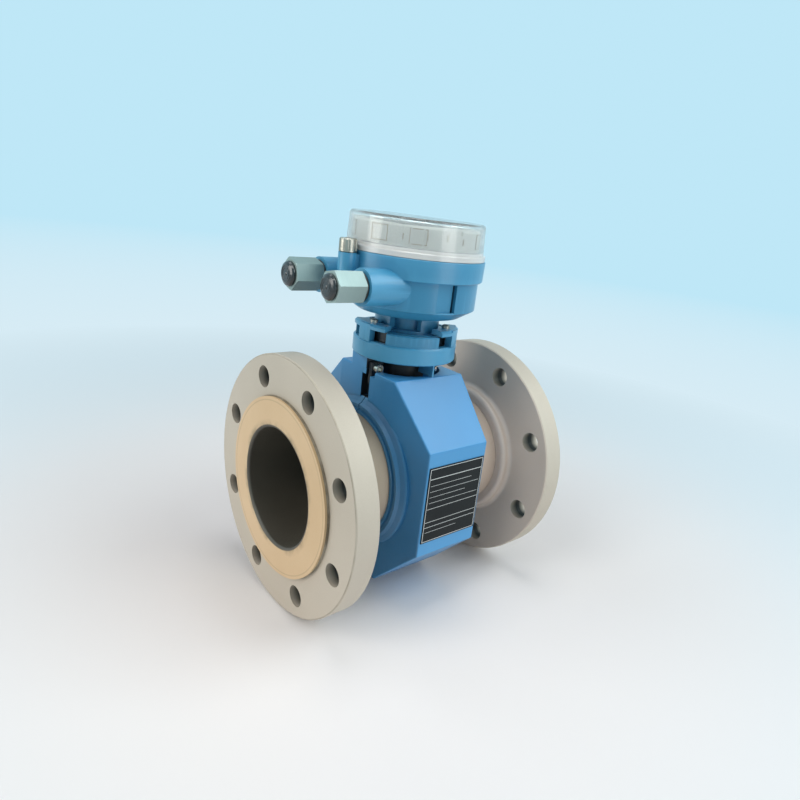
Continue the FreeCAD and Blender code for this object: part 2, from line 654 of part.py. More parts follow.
# ---------------------------------------------------------------- electrodes
def build_electrode(name, angle):
    """Electrode with its insulating bush and nut, made along Z and then turned."""
    head_back = bore_r + D["head_sink"] - 0.05
    head_r = D["electrode_head"] / 2
    shaft_r = D["electrode_shaft"] / 2
    electrode = new_body(name)
    spin(electrode, name + "_turned", "XZ_Plane", [
        (0, bore_r + 0.05), (head_r - 0.3, bore_r + 0.05), (head_r, bore_r + 0.35),
        (head_r, head_back), (shaft_r, head_back), (shaft_r, D["electrode_end"]),
        (0, D["electrode_end"]),
    ], "Z_Axis")
    move_body(electrode, axis=(1, 0, 0), angle=angle)
    finish(electrode, name)

    bush = new_body(name + "_bush")
    hole_r = shaft_r + D["fit_gap"]
    seat = tube_r + D["fit_gap"]
    bush_top = seat + D["bush_height"]
    spin(bush, name + "_bush_turned", "XZ_Plane", [
        (hole_r, tube_bore_r + D["fit_gap"]), (D["bush_spigot"] / 2, tube_bore_r + D["fit_gap"]),
        (D["bush_spigot"] / 2, seat), (D["bush_od"] / 2, seat),
        (D["bush_od"] / 2, bush_top), (hole_r, bush_top),
    ], "Z_Axis")
    move_body(bush, axis=(1, 0, 0), angle=angle)

    nut = new_body(name + "_nut")
    blank = new_sketch(nut, name + "_nut_outline", "XY_Plane", bush_top)
    hexagon(blank, D["nut_width"])
    add_circle(blank, 0, 0, D["electrode_shaft"] + 2 * D["fit_gap"])
    extrude(nut, name + "_nut_blank", blank, D["nut_height"])
    move_body(nut, axis=(1, 0, 0), angle=angle)
    return bush, nut


sets = [
    build_electrode("measuring_electrode_front", 90),
    build_electrode("measuring_electrode_rear", -90),
    build_electrode("reference_electrode", 90 + D["level_angle"]),
    build_electrode("level_electrode", D["level_angle"] - 90),
]
group("electrode_bushes", [pair[0] for pair in sets])
group("electrode_nuts", [pair[1] for pair in sets])


# ---------------------------------------------------------------- magnet circuit
yoke_bore_r = D["yoke_bore"] / 2


def build_magnet(prefix, angle):
    """Pole piece and field coil, made above the pipe and turned into place."""
    pole = new_body(prefix + "_pole")
    shoe_base = tube_r + D["fit_gap"]
    shoe_top = shoe_base + D["shoe_thickness"]
    half_shoe = D["shoe_length"] / 2
    spin(pole, prefix + "_shoe", "XZ_Plane", [
        (-half_shoe, shoe_base), (half_shoe, shoe_base), (half_shoe, shoe_top), (-half_shoe, shoe_top),
    ], "X_Axis", D["shoe_angle"])
    core = new_sketch(pole, prefix + "_core_outline", "XY_Plane", shoe_base + 1)
    add_circle(core, 0, 0, D["coil_bore"] - 2 * D["fit_gap"])
    extrude(pole, prefix + "_core", core, yoke_bore_r - D["fit_gap"] - shoe_base - 1.5)
    move_body(pole, axis=(1, 0, 0), angle=angle)
    finish(pole, prefix + "_pole")

    coil = new_body(prefix + "_coil")
    inner = D["coil_bore"] / 2
    outer = D["coil_od"] / 2
    top = D["coil_base"] + D["coil_height"]
    spin(coil, prefix + "_winding", "XZ_Plane", [
        (inner, D["coil_base"]), (outer, D["coil_base"]), (outer, top), (inner, top),
    ], "Z_Axis")
    move_body(coil, axis=(1, 0, 0), angle=angle)
    finish(coil, prefix + "_coil")


build_magnet("upper", 0)
build_magnet("lower", 180)

yoke = new_body("return_yoke")
half_yoke = D["yoke_width"] / 2
spin(yoke, "yoke_band", "XZ_Plane", [
    (-half_yoke, yoke_bore_r), (half_yoke, yoke_bore_r),
    (half_yoke, D["yoke_od"] / 2), (-half_yoke, D["yoke_od"] / 2),
], "X_Axis")
finish(yoke, "return_yoke")


# ---------------------------------------------------------------- sensor housing
def build_shell(name, side):
    """Half housing; side is -1 for the front shell and 1 for the rear one."""
    body = new_body(name)
    joint = side * D["joint_gap"]
    reach = side * D["shell_reach"]
    crown = side * D["crown_half"]
    outline = new_sketch(body, name + "_outline", "YZ_Plane")
    add_outline(outline, [
        (joint, D["shell_crown"]), (crown, D["shell_crown"]), (reach, D["shell_side"]),
        (reach, -D["shell_side"]), (crown, -D["shell_crown"]), (joint, -D["shell_crown"]),
    ])
    extrude(body, name + "_block", outline, 2 * D["shell_mid"], both=True)

    def taper(tag, plane_height, depth):
        """Cut the draft of both ends, through everything or upwards from a height."""
        draft = new_sketch(body, name + tag + "_outline", "XY_Plane", plane_height)
        beyond = D["shell_mid"] + D["neck_od"] / 2
        for end in (-1, 1):
            add_outline(draft, [
                (end * D["shell_mid"], 0), (end * D["shell_knee"], crown),
                (end * D["shell_face"], reach), (end * D["shell_face"], reach + side * 5),
                (end * beyond, reach + side * 5), (end * beyond, 0),
            ])
        extrude(body, name + tag, draft, depth, both=depth is None, turned=depth is not None, cut=True)

    taper("_draft", 0, None)
    joint_y = joint.value
    knee_y = crown.value
    crown_z = D["shell_crown"].value

    def outer_edge(edge):
        middle = edge.valueAt((edge.FirstParameter + edge.LastParameter) / 2)
        on_joint = abs(middle.y - joint_y) < 0.05
        on_knee = abs(middle.y - knee_y) < 0.05 and abs(middle.z) < crown_z - 0.05
        return not (on_joint or on_knee)

    round_edges(body, name + "_rounding", outer_edge, D["shell_round"])

    if side > 0:
        foot_base = D["shell_crown"] - 2 * D["shell_round"]
        foot = new_sketch(body, name + "_foot_outline", "XY_Plane", foot_base)
        add_circle(foot, 0, 0, D["foot_od"])
        extrude(body, name + "_foot", foot, D["foot_top"] - foot_base)
        taper("_foot_draft", foot_base - 1, D["foot_top"])
        halve = new_sketch(body, name + "_foot_half_outline", "XY_Plane", foot_base - 1)
        add_box(halve, -D["foot_od"], -D["foot_od"], D["foot_od"], joint)
        extrude(body, name + "_foot_half", halve, D["foot_top"], turned=True, cut=True)

    channel = new_sketch(body, name + "_channel_outline", "XZ_Plane")
    upper_end = D["channel_end"] if side > 0 else D["shell_crown"] + 1
    for end in (-1, 1):
        for level in (-1, 1):
            add_box(channel, end * D["channel_floor"], level * D["channel_start"],
                    end * (D["shell_mid"] + 5), level * upper_end)
    extrude(body, name + "_channel", channel, D["channel_half"], turned=side < 0, cut=True)

    if side < 0:
        pocket = new_sketch(body, name + "_pocket_outline", "XY_Plane", D["shell_crown"])
        add_circle(pocket, 0, 0, D["pocket_od"])
        extrude(body, name + "_pocket", pocket, D["shell_crown"] - D["pocket_floor"], cut=True)
        notch = new_sketch(body, name + "_notch_outline", "XZ_Plane")
        for end in (-1, 1):
            for level in (-1, 1):
                add_box(notch, end * D["notch_half"], level * D["notch_floor"],
                        end * (D["shell_mid"] + 5), level * (D["shell_crown"] + 5))
        extrude(body, name + "_notch", notch, D["notch_reach"], turned=True, cut=True)

    wall = D["shell_wall"]
    slope = wall * 1.41421
    diagonal = D["crown_half"] + D["shell_crown"] - slope
    inner = side * (D["shell_reach"] - wall)
    top = D["cavity_top"]
    cavity = new_sketch(body, name + "_cavity_outline", "YZ_Plane")
    add_outline(cavity, [
        (0, top), (side * (diagonal - top), top), (inner, diagonal - D["shell_reach"] + wall),
        (inner, D["shell_reach"] - wall - diagonal), (side * (diagonal - top), -top), (0, -top),
    ])
    extrude(body, name + "_cavity", cavity, 2 * D["cavity_half"], both=True, cut=True)

    collar_r = tube_r + D["collar_gap"]
    foot_x = D["shell_knee"] - 1
    for end, tag in ((-1, "inlet"), (1, "outlet")):
        spin(body, "%s_%s_collar" % (name, tag), "XY_Plane", [
            (end * (D["channel_floor"] + 0.5), side * collar_r),
            (end * D["collar_reach"], side * collar_r),
            (end * D["collar_reach"], side * (collar_r + 2.6)),
            (end * (D["collar_reach"] - 2.2), side * (collar_r + 3.0)),
            (end * (D["collar_reach"] - 2.2), side * (collar_r + 4.6)),
            (end * (D["collar_reach"] - 1.4), side * (collar_r + 5.0)),
            (end * (D["collar_reach"] - 1.4), side * (collar_r + 7.6)),
            (end * (D["collar_reach"] - 4.4), side * (collar_r + 9.6)),
            (end * foot_x, side * D["collar_od"] / 2),
            (end * (D["channel_floor"] + 0.5), side * D["collar_od"] / 2),
        ], "X_Axis", 180)

    ears = new_sketch(body, name + "_ear_outline", "XZ_Plane", side * -1 * D["joint_gap"])
    levels = (-1, 1) if side < 0 else (-1,)
    for end in (-1, 1):
        for level in levels:
            add_box(ears, end * D["ear_inner"], level * (D["pocket_floor"] - 3),
                    end * D["ear_outer"], level * D["ear_top"])
    thickness = D["ear_thickness"] - D["joint_gap"] if side < 0 else D["shell_screw_long"]
    extrude(body, name + "_ears", ears, thickness, turned=side > 0)

    trim = new_sketch(body, name + "_joint_outline", "XZ_Plane")
    edge = D["shell_crown"] + D["shell_reach"]
    add_box(trim, -edge, -edge, edge, edge)
    extrude(body, name + "_joint_trim", trim, 2 * D["joint_gap"], both=True, cut=True)
    relief = new_sketch(body, name + "_relief_outline", "YZ_Plane")
    add_circle(relief, 0, 0, D["relief_od"])
    extrude(body, name + "_relief", relief, 2 * D["relief_reach"], both=True, cut=True)
    through = new_sketch(body, name + "_tube_outline", "YZ_Plane")
    add_circle(through, 0, 0, 2 * collar_r)
    extrude(body, name + "_tube_hole", through, both=True, cut=True)
    neck = new_sketch(body, name + "_neck_outline", "XY_Plane", D["pocket_floor"] - 10)
    add_circle(neck, 0, 0, D["neck_pipe_od"] + 2 * D["collar_gap"])
    extrude(body, name + "_neck_hole", neck, 40, turned=True, cut=True)
    if side > 0:
        seat = new_sketch(body, name + "_sleeve_outline", "XY_Plane", D["pocket_floor"])
        add_circle(seat, 0, 0, D["neck_pipe_od"] + 2 * D["sleeve_wall"] + 4 * D["fit_gap"])
        extrude(body, name + "_sleeve_seat", seat, D["foot_top"] - D["pocket_floor"] + 1,
                turned=True, cut=True)
    screws = new_sketch(body, name + "_screw_outline", "XZ_Plane")
    for end in (-1, 1):
        for level in (-1, 1):
            add_circle(screws, end * D["shell_screw_x"], level * D["shell_screw_z"],
                       D["shell_screw"] + 2 * D["fit_gap"])
    extrude(body, name + "_screw_holes", screws, D["shell_screw_long"] + 1,
            turned=side < 0, cut=True)
    finish(body, name)
    return body


front_shell = build_shell("front_shell", -1)
rear_shell = build_shell("rear_shell", 1)

gasket = new_body("shell_gasket")
seal_outline = new_sketch(gasket, "gasket_outline", "XZ_Plane")
seal_out = D["channel_floor"] - 0.2
seal_in = D["cavity_half"] + 0.1
seal_low = D["channel_start"] + 2
seal_up = D["cavity_top"] + 0.1
seal_top = D["pocket_floor"] - 0.2
pipe_gap = D["neck_pipe_od"] / 2 + 1.5
for end in (-1, 1):
    add_outline(seal_outline, [
        (end * seal_out, seal_low), (end * seal_out, seal_top), (end * pipe_gap, seal_top),
        (end * pipe_gap, seal_up), (end * seal_in, seal_up), (end * seal_in, seal_low),
    ])
add_outline(seal_outline, [
    (-seal_out, -seal_low), (-seal_out, -seal_top), (seal_out, -seal_top), (seal_out, -seal_low),
    (seal_in, -seal_low), (seal_in, -seal_up), (-seal_in, -seal_up), (-seal_in, -seal_low),
])
extrude(gasket, "gasket_strip", seal_outline, 2 * D["joint_gap"] - 0.1, both=True)
finish(gasket, "shell_gasket")

for side, name in ((-1, "inlet_tube_seal"), (1, "outlet_tube_seal")):
    seal = new_body(name)
    seal_end = D["relief_reach"] - D["fit_gap"]
    spin(seal, name + "_ring", "XZ_Plane", [
        (side * (seal_end - D["seal_width"]), tube_r + D["fit_gap"]),
        (side * seal_end, tube_r + D["fit_gap"]),
        (side * seal_end, D["relief_od"] / 2 - D["fit_gap"]),
        (side * (seal_end - D["seal_width"]), D["relief_od"] / 2 - D["fit_gap"]),
    ], "X_Axis")
    finish(seal, name)


def build_socket_screw(name, shank, length, head, head_height, key):
    """Socket screw along Z: shank below the seat at z = 0, head above it."""
    body = new_body(name)
    shank = size(shank)
    head = size(head)
    spin(body, name + "_turned", "XZ_Plane", [
        (0, -length), (shank / 2, -length), (shank / 2, 0), (head / 2, 0),
        (head / 2, head_height - 0.6), (head / 2 - 0.6, head_height), (0, head_height),
    ], "Z_Axis")
    socket = new_sketch(body, name + "_key_outline", "XY_Plane", head_height)
    hexagon(socket, key)
    extrude(body, name + "_key", socket, size(head_height) / 2, cut=True)
    return body


screws = []
for end in (-1, 1):
    for level in (-1, 1):
        screw = build_socket_screw(
            "shell_screw_%d%d" % (end + 1, level + 1), D["shell_screw"],
            D["shell_screw_long"] + D["ear_thickness"] - 1, D["shell_screw_head"], D["shell_screw"], 4)
        move_body(screw, end * D["shell_screw_x"], -D["ear_thickness"], level * D["shell_screw_z"],
                  (1, 0, 0), 90)
        screws.append(screw)
group("shell_screws", screws)

plate = new_body("nameplate")
plate_outline = new_sketch(plate, "plate_outline", "XZ_Plane", D["shell_reach"])
add_box(plate_outline, -D["plate_width"] / 2, -D["plate_height"] / 2,
        D["plate_width"] / 2, D["plate_height"] / 2)
extrude(plate, "plate_sheet", plate_outline, D["plate_thickness"])
finish(plate, "nameplate")


# ---------------------------------------------------------------- neck
neck_r = D["neck_od"] / 2
pipe_bore_r = D["neck_pipe_bore"] / 2
journal_r = D["journal_od"] / 2
groove_in = D["neck_seal_circle"] / 2 - D["neck_seal_cord"] / 2 - 0.15
groove_out = D["neck_seal_circle"] / 2 + D["neck_seal_cord"] / 2 + 0.15
groove_floor = D["neck_top"] - D["neck_seal_cord"] + 0.1
neck = new_body("neck_base")
spin(neck, "neck_disc", "XZ_Plane", [
    (pipe_bore_r, D["neck_pipe_end"]), (D["neck_pipe_od"] / 2, D["neck_pipe_end"]),
    (D["neck_pipe_od"] / 2, D["foot_top"]), (neck_r - 1, D["foot_top"]),
    (neck_r, D["foot_top"] + 1), (neck_r, D["neck_top"] - 1.5), (neck_r - 1.5, D["neck_top"]),
    (groove_out, D["neck_top"]), (groove_out, groove_floor), (groove_in, groove_floor),
    (groove_in, D["neck_top"]), (journal_r, D["neck_top"]), (journal_r, D["journal_top"]),
    (pipe_bore_r, D["journal_top"]),
], "Z_Axis")
rib = new_sketch(neck, "rib_outline", "XY_Plane", D["shell_crown"] + 0.3)
rib_root = D["neck_pipe_od"] / 2 + D["fit_gap"] + D["sleeve_wall"] + 1
add_box(rib, D["rib_offset"] - D["rib_thickness"] / 2, -D["rib_reach"],
        D["rib_offset"] + D["rib_thickness"] / 2, -rib_root)
extrude(neck, "neck_rib", rib, D["neck_gap"])
ring_in = D["catch_bore"] / 2
collar_part = spin(neck, "collar_segment", "XZ_Plane", [
    (ring_in, D["neck_top"] - 0.5), (D["collar_ring_od"] / 2, D["neck_top"] - 0.5),
    (D["collar_ring_od"] / 2, D["collar_ring_top"] - 1),
    (D["collar_ring_od"] / 2 - 1, D["collar_ring_top"]), (ring_in, D["collar_ring_top"]),
], "Z_Axis", D["ring_angle"])
circle_pattern(neck, "collar_segments", [collar_part], "Z_Axis", D["claw_count"])
claw = spin(neck, "claw_pillar", "XZ_Plane", [
    (-ring_in, D["neck_top"] - 2), (-neck_r + 1.5, D["neck_top"] - 2),
    (-neck_r, D["neck_top"]), (-neck_r, D["hood_top"] - 0.5), (-ring_in, D["hood_top"] - 0.5),
], "Z_Axis", D["claw_angle"])
hood = spin(neck, "claw_hood", "XZ_Plane", [
    (-D["hood_bore"] / 2, D["hood_base"]), (-neck_r, D["hood_base"]),
    (-neck_r, D["hood_top"] - D["hood_round"]), (-neck_r + D["hood_round"], D["hood_top"]),
    (-D["hood_bore"] / 2 - 1, D["hood_top"]), (-D["hood_bore"] / 2, D["hood_top"] - 1),
], "Z_Axis", D["hood_angle"])
drill = new_sketch(neck, "securing_hole_outline", "XY_Plane", D["hood_top"] + 1)
add_circle(drill, -D["securing_circle"] / 2, 0, D["securing_screw"] + 2 * D["fit_gap"])
tapped = extrude(neck, "securing_hole", drill, D["hood_top"] - D["hood_base"] + 2, cut=True)
circle_pattern(neck, "claws", [claw, hood, tapped], "Z_Axis", D["claw_count"])
finish(neck, "neck_base")

sleeve = new_body("neck_sleeve")
sleeve_bore = D["neck_pipe_od"] / 2 + D["fit_gap"]
sleeve_r = sleeve_bore + D["sleeve_wall"]
spin(sleeve, "sleeve_ring", "XZ_Plane", [
    (sleeve_bore, D["pocket_floor"] + 0.1), (sleeve_r, D["pocket_floor"] + 0.1),
    (sleeve_r, D["foot_top"] - 0.1), (sleeve_bore, D["foot_top"] - 0.1),
], "Z_Axis")
finish(sleeve, "neck_sleeve")

neck_seal = new_body("neck_seal")
seal_profile = new_sketch(neck_seal, "neck_seal_outline", "XZ_Plane")
add_circle(seal_profile, D["neck_seal_circle"] / 2, groove_floor + D["neck_seal_cord"] / 2 + 0.05,
           D["neck_seal_cord"])
ring = neck_seal.newObject("PartDesign::Revolution", "neck_seal_ring")
ring.Profile = seal_profile
ring.ReferenceAxis = (origin_part(neck_seal, "Z_Axis"), [""])
ring.Angle = 360
doc.recompute()
finish(neck_seal, "neck_seal")

claw_screws = []
for step in range(3):
    screw = build_socket_screw(
        "securing_screw_%d" % step, D["securing_screw"], D["hood_thickness"] - 0.1,
        D["securing_screw"] + 3, D["securing_screw"] * 0.65, D["securing_screw"] - 1)
    azimuth = 180 + 360 / D["claw_count"] * step
    reach = D["securing_circle"] / 2
    move_body(screw, reach * cosine(azimuth), reach * sine(azimuth), D["hood_top"])
    claw_screws.append(screw)
group("securing_screws", claw_screws)


# ---------------------------------------------------------------- transmitter
body_r = D["body_od"] / 2
bore_in = D["body_bore"] / 2
housing = new_body("transmitter_housing")
spin(housing, "housing_turned", "XZ_Plane", [
    (journal_r + D["fit_gap"], D["flange_ring_base"]),
    (D["flange_ring_od"] / 2, D["flange_ring_base"]),
    (D["flange_ring_od"] / 2, D["flange_ring_top"] - 0.8),
    (D["flange_ring_od"] / 2 - 0.8, D["flange_ring_top"]),
    (D["column_od"] / 2, D["flange_ring_top"]), (D["column_od"] / 2, D["body_base"]),
    (D["body_base_od"] / 2, D["body_base"]), (body_r, D["body_shoulder"]),
    (body_r, D["band_base"]), (D["band_od"] / 2 - 0.8, D["band_base"]),
    (D["band_od"] / 2, D["band_base"] + 0.8), (D["band_top_od"] / 2, D["band_top"] - 0.6),
    (D["band_top_od"] / 2 - 0.6, D["band_top"]), (D["spigot_od"] / 2, D["band_top"]),
    (D["spigot_od"] / 2, D["spigot_top"]), (bore_in, D["spigot_top"]),
    (bore_in, D["body_shoulder"] + 2), (D["body_base_od"] / 2 + 2, D["body_floor"]),
    (D["column_bore"] / 2, D["body_floor"]),
    (D["column_bore"] / 2, D["journal_top"] + 0.4), (journal_r + D["fit_gap"], D["journal_top"] + 0.4),
], "Z_Axis")
boss = new_sketch(housing, "boss_outline", "YZ_Plane", -D["boss_end"])
for end in (-1, 1):
    add_circle(boss, end * D["entry_y"], D["entry_z"], D["boss_od"])
extrude(housing, "bosses", boss, D["boss_end"] - D["boss_root"])
post = new_sketch(housing, "post_outline", "XY_Plane", D["post_base"])
add_circle(post, -D["post_x"], 0, D["post_od"])
extrude(housing, "clamp_post", post, D["post_top"] - D["post_base"])
web = new_sketch(housing, "web_outline", "XY_Plane", D["post_base"])
add_box(web, -D["post_x"], -D["post_od"] / 2 + 1, -body_r + 1, D["post_od"] / 2 - 1)
extrude(housing, "post_web", web, D["post_top"] - D["post_base"] - 1)
thread = new_sketch(housing, "entry_outline", "YZ_Plane", -D["boss_end"])
for end in (-1, 1):
    add_circle(thread, end * D["entry_y"], D["entry_z"], D["entry_thread"])
extrude(housing, "entry_threads", thread, D["entry_depth"], turned=True, cut=True)
wires = new_sketch(housing, "passage_outline", "YZ_Plane", -D["boss_end"])
for end in (-1, 1):
    add_circle(wires, end * D["entry_y"], D["entry_z"], D["passage"])
extrude(housing, "passages", wires, D["boss_end"] - D["boss_root"] + 2, turned=True, cut=True)
flat = new_sketch(housing, "flat_outline", "XZ_Plane", D["side_flat"])
add_box(flat, -D["flat_reach"], D["side_flat_base"], -D["flat_groove"], D["band_base"])
flat_cut = extrude(housing, "side_flat_front", flat, D["flat_depth"] + 3, turned=True, cut=True)
groove = new_sketch(housing, "flat_groove_outline", "XZ_Plane", D["side_flat"] - D["groove_depth"])
add_box(groove, -D["flat_groove"], D["side_flat_base"], 0, D["band_base"])
groove_cut = extrude(housing, "flat_groove_front", groove, D["flat_depth"] + D["groove_depth"] + 3,
                     turned=True, cut=True)
mirror_feature(housing, "side_flat_rear", [flat_cut, groove_cut], "XZ_Plane")
spin(housing, "column_pocket", "XZ_Plane", [
    (D["column_od"] / 2 - D["column_pocket"], D["flange_ring_top"] + 1.4),
    (D["column_od"] / 2 + 2, D["flange_ring_top"] + 1.4),
    (D["column_od"] / 2 + 2, D["body_base"] - 2),
    (D["column_od"] / 2 - D["column_pocket"], D["body_base"] - 2),
], "Z_Axis", D["column_pocket_angle"], cut=True, azimuth=D["column_pocket_azimuth"])
clamp_hole = new_sketch(housing, "clamp_hole_outline", "XY_Plane", D["post_top"] + 1)
add_circle(clamp_hole, -D["post_x"], 0, D["clamp_shank"] + 2 * D["fit_gap"])
extrude(housing, "clamp_hole", clamp_hole, D["post_top"] - D["post_base"] - 1, cut=True)
finish(housing, "transmitter_housing")

clamp = new_body("cover_clamp_screw")
clamp_r = D["clamp_head_od"] / 2
clamp_seat = D["post_top"] + D["fit_gap"]
clamp_top = clamp_seat + D["clamp_head"]
spin(clamp, "clamp_turned", "XZ_Plane", [
    (0, D["post_base"] + 4), (D["clamp_shank"] / 2, D["post_base"] + 4),
    (D["clamp_shank"] / 2, clamp_seat), (clamp_r - 0.6, clamp_seat), (clamp_r, clamp_seat + 0.6),
    (clamp_r, clamp_top - 1), (clamp_r - 1, clamp_top),
    (0, clamp_top),
], "Z_Axis")
knurl = new_sketch(clamp, "knurl_outline", "XY_Plane", clamp_seat + 1.5)
add_circle(knurl, clamp_r + 0.2, 0, D["knurl_groove"])
knurl_cut = extrude(clamp, "knurl_groove", knurl, D["clamp_head"], turned=True, cut=True)
circle_pattern(clamp, "knurl", [knurl_cut], "Z_Axis", D["knurl_count"])
socket = new_sketch(clamp, "clamp_socket_outline", "XY_Plane", clamp_top)
hexagon(socket, D["clamp_shank"])
extrude(clamp, "clamp_socket", socket, D["clamp_head"] / 2, cut=True)
move_body(clamp, x=-D["post_x"])
finish(clamp, "cover_clamp_screw")


def build_entry(tag, side, turn):
    """Cable adapter with its seal and blanking plug at one cable entry."""
    adapter = new_body("cable_adapter_" + tag)
    blank = new_sketch(adapter, tag + "_hex_outline", "YZ_Plane", -D["hex_front"])
    hexagon(blank, D["hex_width"])
    extrude(adapter, tag + "_hex", blank, D["hex_front"] - D["hex_back"])
    corner = D["hex_width"] / 2
    for name, end, inward in (("nose", -D["hex_front"], 1), ("heel", -D["hex_back"], -1)):
        spin(adapter, tag + "_hex_" + name, "XZ_Plane", [
            (end - inward * 0.5, corner), (end + inward * D["hex_break"], corner * 1.2),
            (end - inward * 0.5, corner * 1.2),
        ], "X_Axis", cut=True)
    shank_r = D["entry_thread"] / 2 - D["fit_gap"]
    hole_r = D["adapter_bore"] / 2
    spin(adapter, tag + "_shank", "XZ_Plane", [
        (-D["hex_back"] - 1, hole_r - 1), (-D["boss_end"] + D["entry_depth"] - 1, hole_r - 1),
        (-D["boss_end"] + D["entry_depth"] - 1, shank_r), (-D["hex_back"] - 1, shank_r),
    ], "X_Axis")
    drill = new_sketch(adapter, tag + "_bore_outline", "YZ_Plane", -D["hex_front"] - 1)
    add_circle(drill, 0, 0, D["adapter_bore"])
    extrude(adapter, tag + "_bore", drill, D["hex_front"], turned=True, cut=True)
    move_body(adapter, 0, side * D["entry_y"], D["entry_z"], (1, 0, 0), turn)
    finish(adapter, "cable_adapter_" + tag)

    seal = new_body("adapter_seal_" + tag)
    width = D["hex_back"] - D["boss_end"] - 0.1
    profile = new_sketch(seal, tag + "_seal_outline", "XZ_Plane")
    add_circle(profile, -(D["hex_back"] + D["boss_end"]) / 2,
               D["entry_thread"] / 2 + D["fit_gap"] + width / 2, width)
    ring = seal.newObject("PartDesign::Revolution", tag + "_seal_ring")
    ring.Profile = profile
    ring.ReferenceAxis = (origin_part(seal, "X_Axis"), [""])
    ring.Angle = 360
    doc.recompute()
    move_body(seal, 0, side * D["entry_y"], D["entry_z"])
    finish(seal, "adapter_seal_" + tag)

    plug = new_body("blanking_plug_" + tag)
    seat = -D["hex_front"] - D["fit_gap"]
    plug_r = D["plug_od"] / 2
    spin(plug, tag + "_plug_turned", "XZ_Plane", [
        (seat - D["plug_dome"], 0), (seat - D["plug_dome"], plug_r - 3),
        (seat - D["plug_dome"] + 0.9, plug_r - 1), (seat - D["plug_dome"] + 2.2, plug_r),
        (seat, plug_r), (seat, hole_r - D["fit_gap"]),
        (seat + D["plug_depth"], hole_r - D["fit_gap"]), (seat + D["plug_depth"], 0),
    ], "X_Axis")
    move_body(plug, 0, side * D["entry_y"], D["entry_z"])
    finish(plug, "blanking_plug_" + tag)


build_entry("front", -1, D["front_hex_turn"])
build_entry("rear", 1, D["rear_hex_turn"])


# ---------------------------------------------------------------- electronics
plug_r = D["carrier_plug_od"] / 2
drum_r = D["carrier_od"] / 2
rim_r = D["carrier_rim_od"] / 2
wall = D["carrier_wall"]
rim_base = D["spigot_top"] + 0.3
carrier_top = D["carrier_top"]
carrier = new_body("electronics_carrier")
spin(carrier, "carrier_drum", "XZ_Plane", [
    (plug_r - wall, D["carrier_base"]), (plug_r, D["carrier_base"]), (plug_r, rim_base),
    (rim_r, rim_base), (rim_r, rim_base + 2.5), (drum_r, rim_base + 3.5), (drum_r, carrier_top - 1),
    (drum_r - 1, carrier_top), (0, carrier_top), (0, carrier_top - wall),
    (plug_r - wall, carrier_top - wall),
], "Z_Axis")
panel_low = rim_base + 4
for tag, azimuth, angle, proud, low, high in (
        ("panel", -159.5, 13, 0.5, panel_low + 1, carrier_top - 1.5),
        ("rib_a", -134.5, 1.6, 0.8, panel_low, carrier_top - 1),
        ("rib_b", -124.3, 1.6, 0.8, panel_low, carrier_top - 1),
        ("rib_c", -60, 1.6, 0.8, panel_low, carrier_top - 1),
        ("rib_d", 60, 1.6, 0.8, panel_low, carrier_top - 1)):
    spin(carrier, "carrier_" + tag, "XZ_Plane", [
        (drum_r - 1, low), (drum_r + proud, low), (drum_r + proud, high), (drum_r - 1, high),
    ], "Z_Axis", angle, azimuth=azimuth)
spin(carrier, "carrier_notch", "XZ_Plane", [
    (drum_r - 2, carrier_top - 3.5), (drum_r + 2, carrier_top - 3.5),
    (drum_r + 2, carrier_top + 1), (drum_r - 2, carrier_top + 1),
], "Z_Axis", 14, cut=True, azimuth=-96)
seat = new_sketch(carrier, "display_seat_outline", "XY_Plane", carrier_top)
add_box(seat, -D["display_width"] / 2 - 0.2, -D["display_depth"] / 2 - 0.2,
        D["display_width"] / 2 + 0.2, D["display_depth"] / 2 + 0.2)
extrude(carrier, "display_seat", seat, 1.2, cut=True)
finish(carrier, "electronics_carrier")

display = new_body("display_module")
face = new_sketch(display, "display_outline", "XY_Plane", carrier_top - 1.1)
add_box(face, -D["display_width"] / 2, -D["display_depth"] / 2,
        D["display_width"] / 2, D["display_depth"] / 2)
extrude(display, "display_block", face, D["display_thickness"])
glass = new_sketch(display, "window_outline", "XY_Plane", carrier_top - 1.1 + D["display_thickness"])
add_box(glass, -D["display_width"] / 2 + 5, -D["display_depth"] / 2 + 9,
        D["display_width"] / 2 - 5, D["display_depth"] / 2 - 5)
extrude(display, "display_window", glass, 0.8, cut=True)
finish(display, "display_module")

board = new_body("circuit_board")
board_outline = new_sketch(board, "board_outline", "XY_Plane", D["board_z"])
add_circle(board_outline, 0, 0, 2 * (plug_r - wall) - 0.6)
extrude(board, "board_disc", board_outline, D["board_thickness"])
chips = new_sketch(board, "chip_outline", "XY_Plane", D["board_z"] + D["board_thickness"])
add_box(chips, -28, -20, -4, 14)
add_box(chips, 8, -26, 30, -8)
add_box(chips, 10, 4, 34, 24)
extrude(board, "chips", chips, 7)
finish(board, "circuit_board")

terminals = new_body("terminal_block")
block = new_sketch(terminals, "block_outline", "XY_Plane", D["body_floor"] + D["fit_gap"])
near = D["column_bore"] / 2 + 2
far = near + D["terminal_width"]
half = D["terminal_length"] / 2
add_box(block, near, -half, far, half)
extrude(terminals, "block", block, D["terminal_height"])
ways = new_sketch(terminals, "way_outline", "XY_Plane",
                  D["body_floor"] + D["fit_gap"] + D["terminal_height"])
pitch = D["terminal_length"] / 8
for step in range(8):
    start = pitch * step - half
    add_box(ways, near + 3, start + 1.2, far - 3, start + pitch - 1.2)
extrude(terminals, "ways", ways, D["terminal_height"] / 3, cut=True)
finish(terminals, "terminal_block")


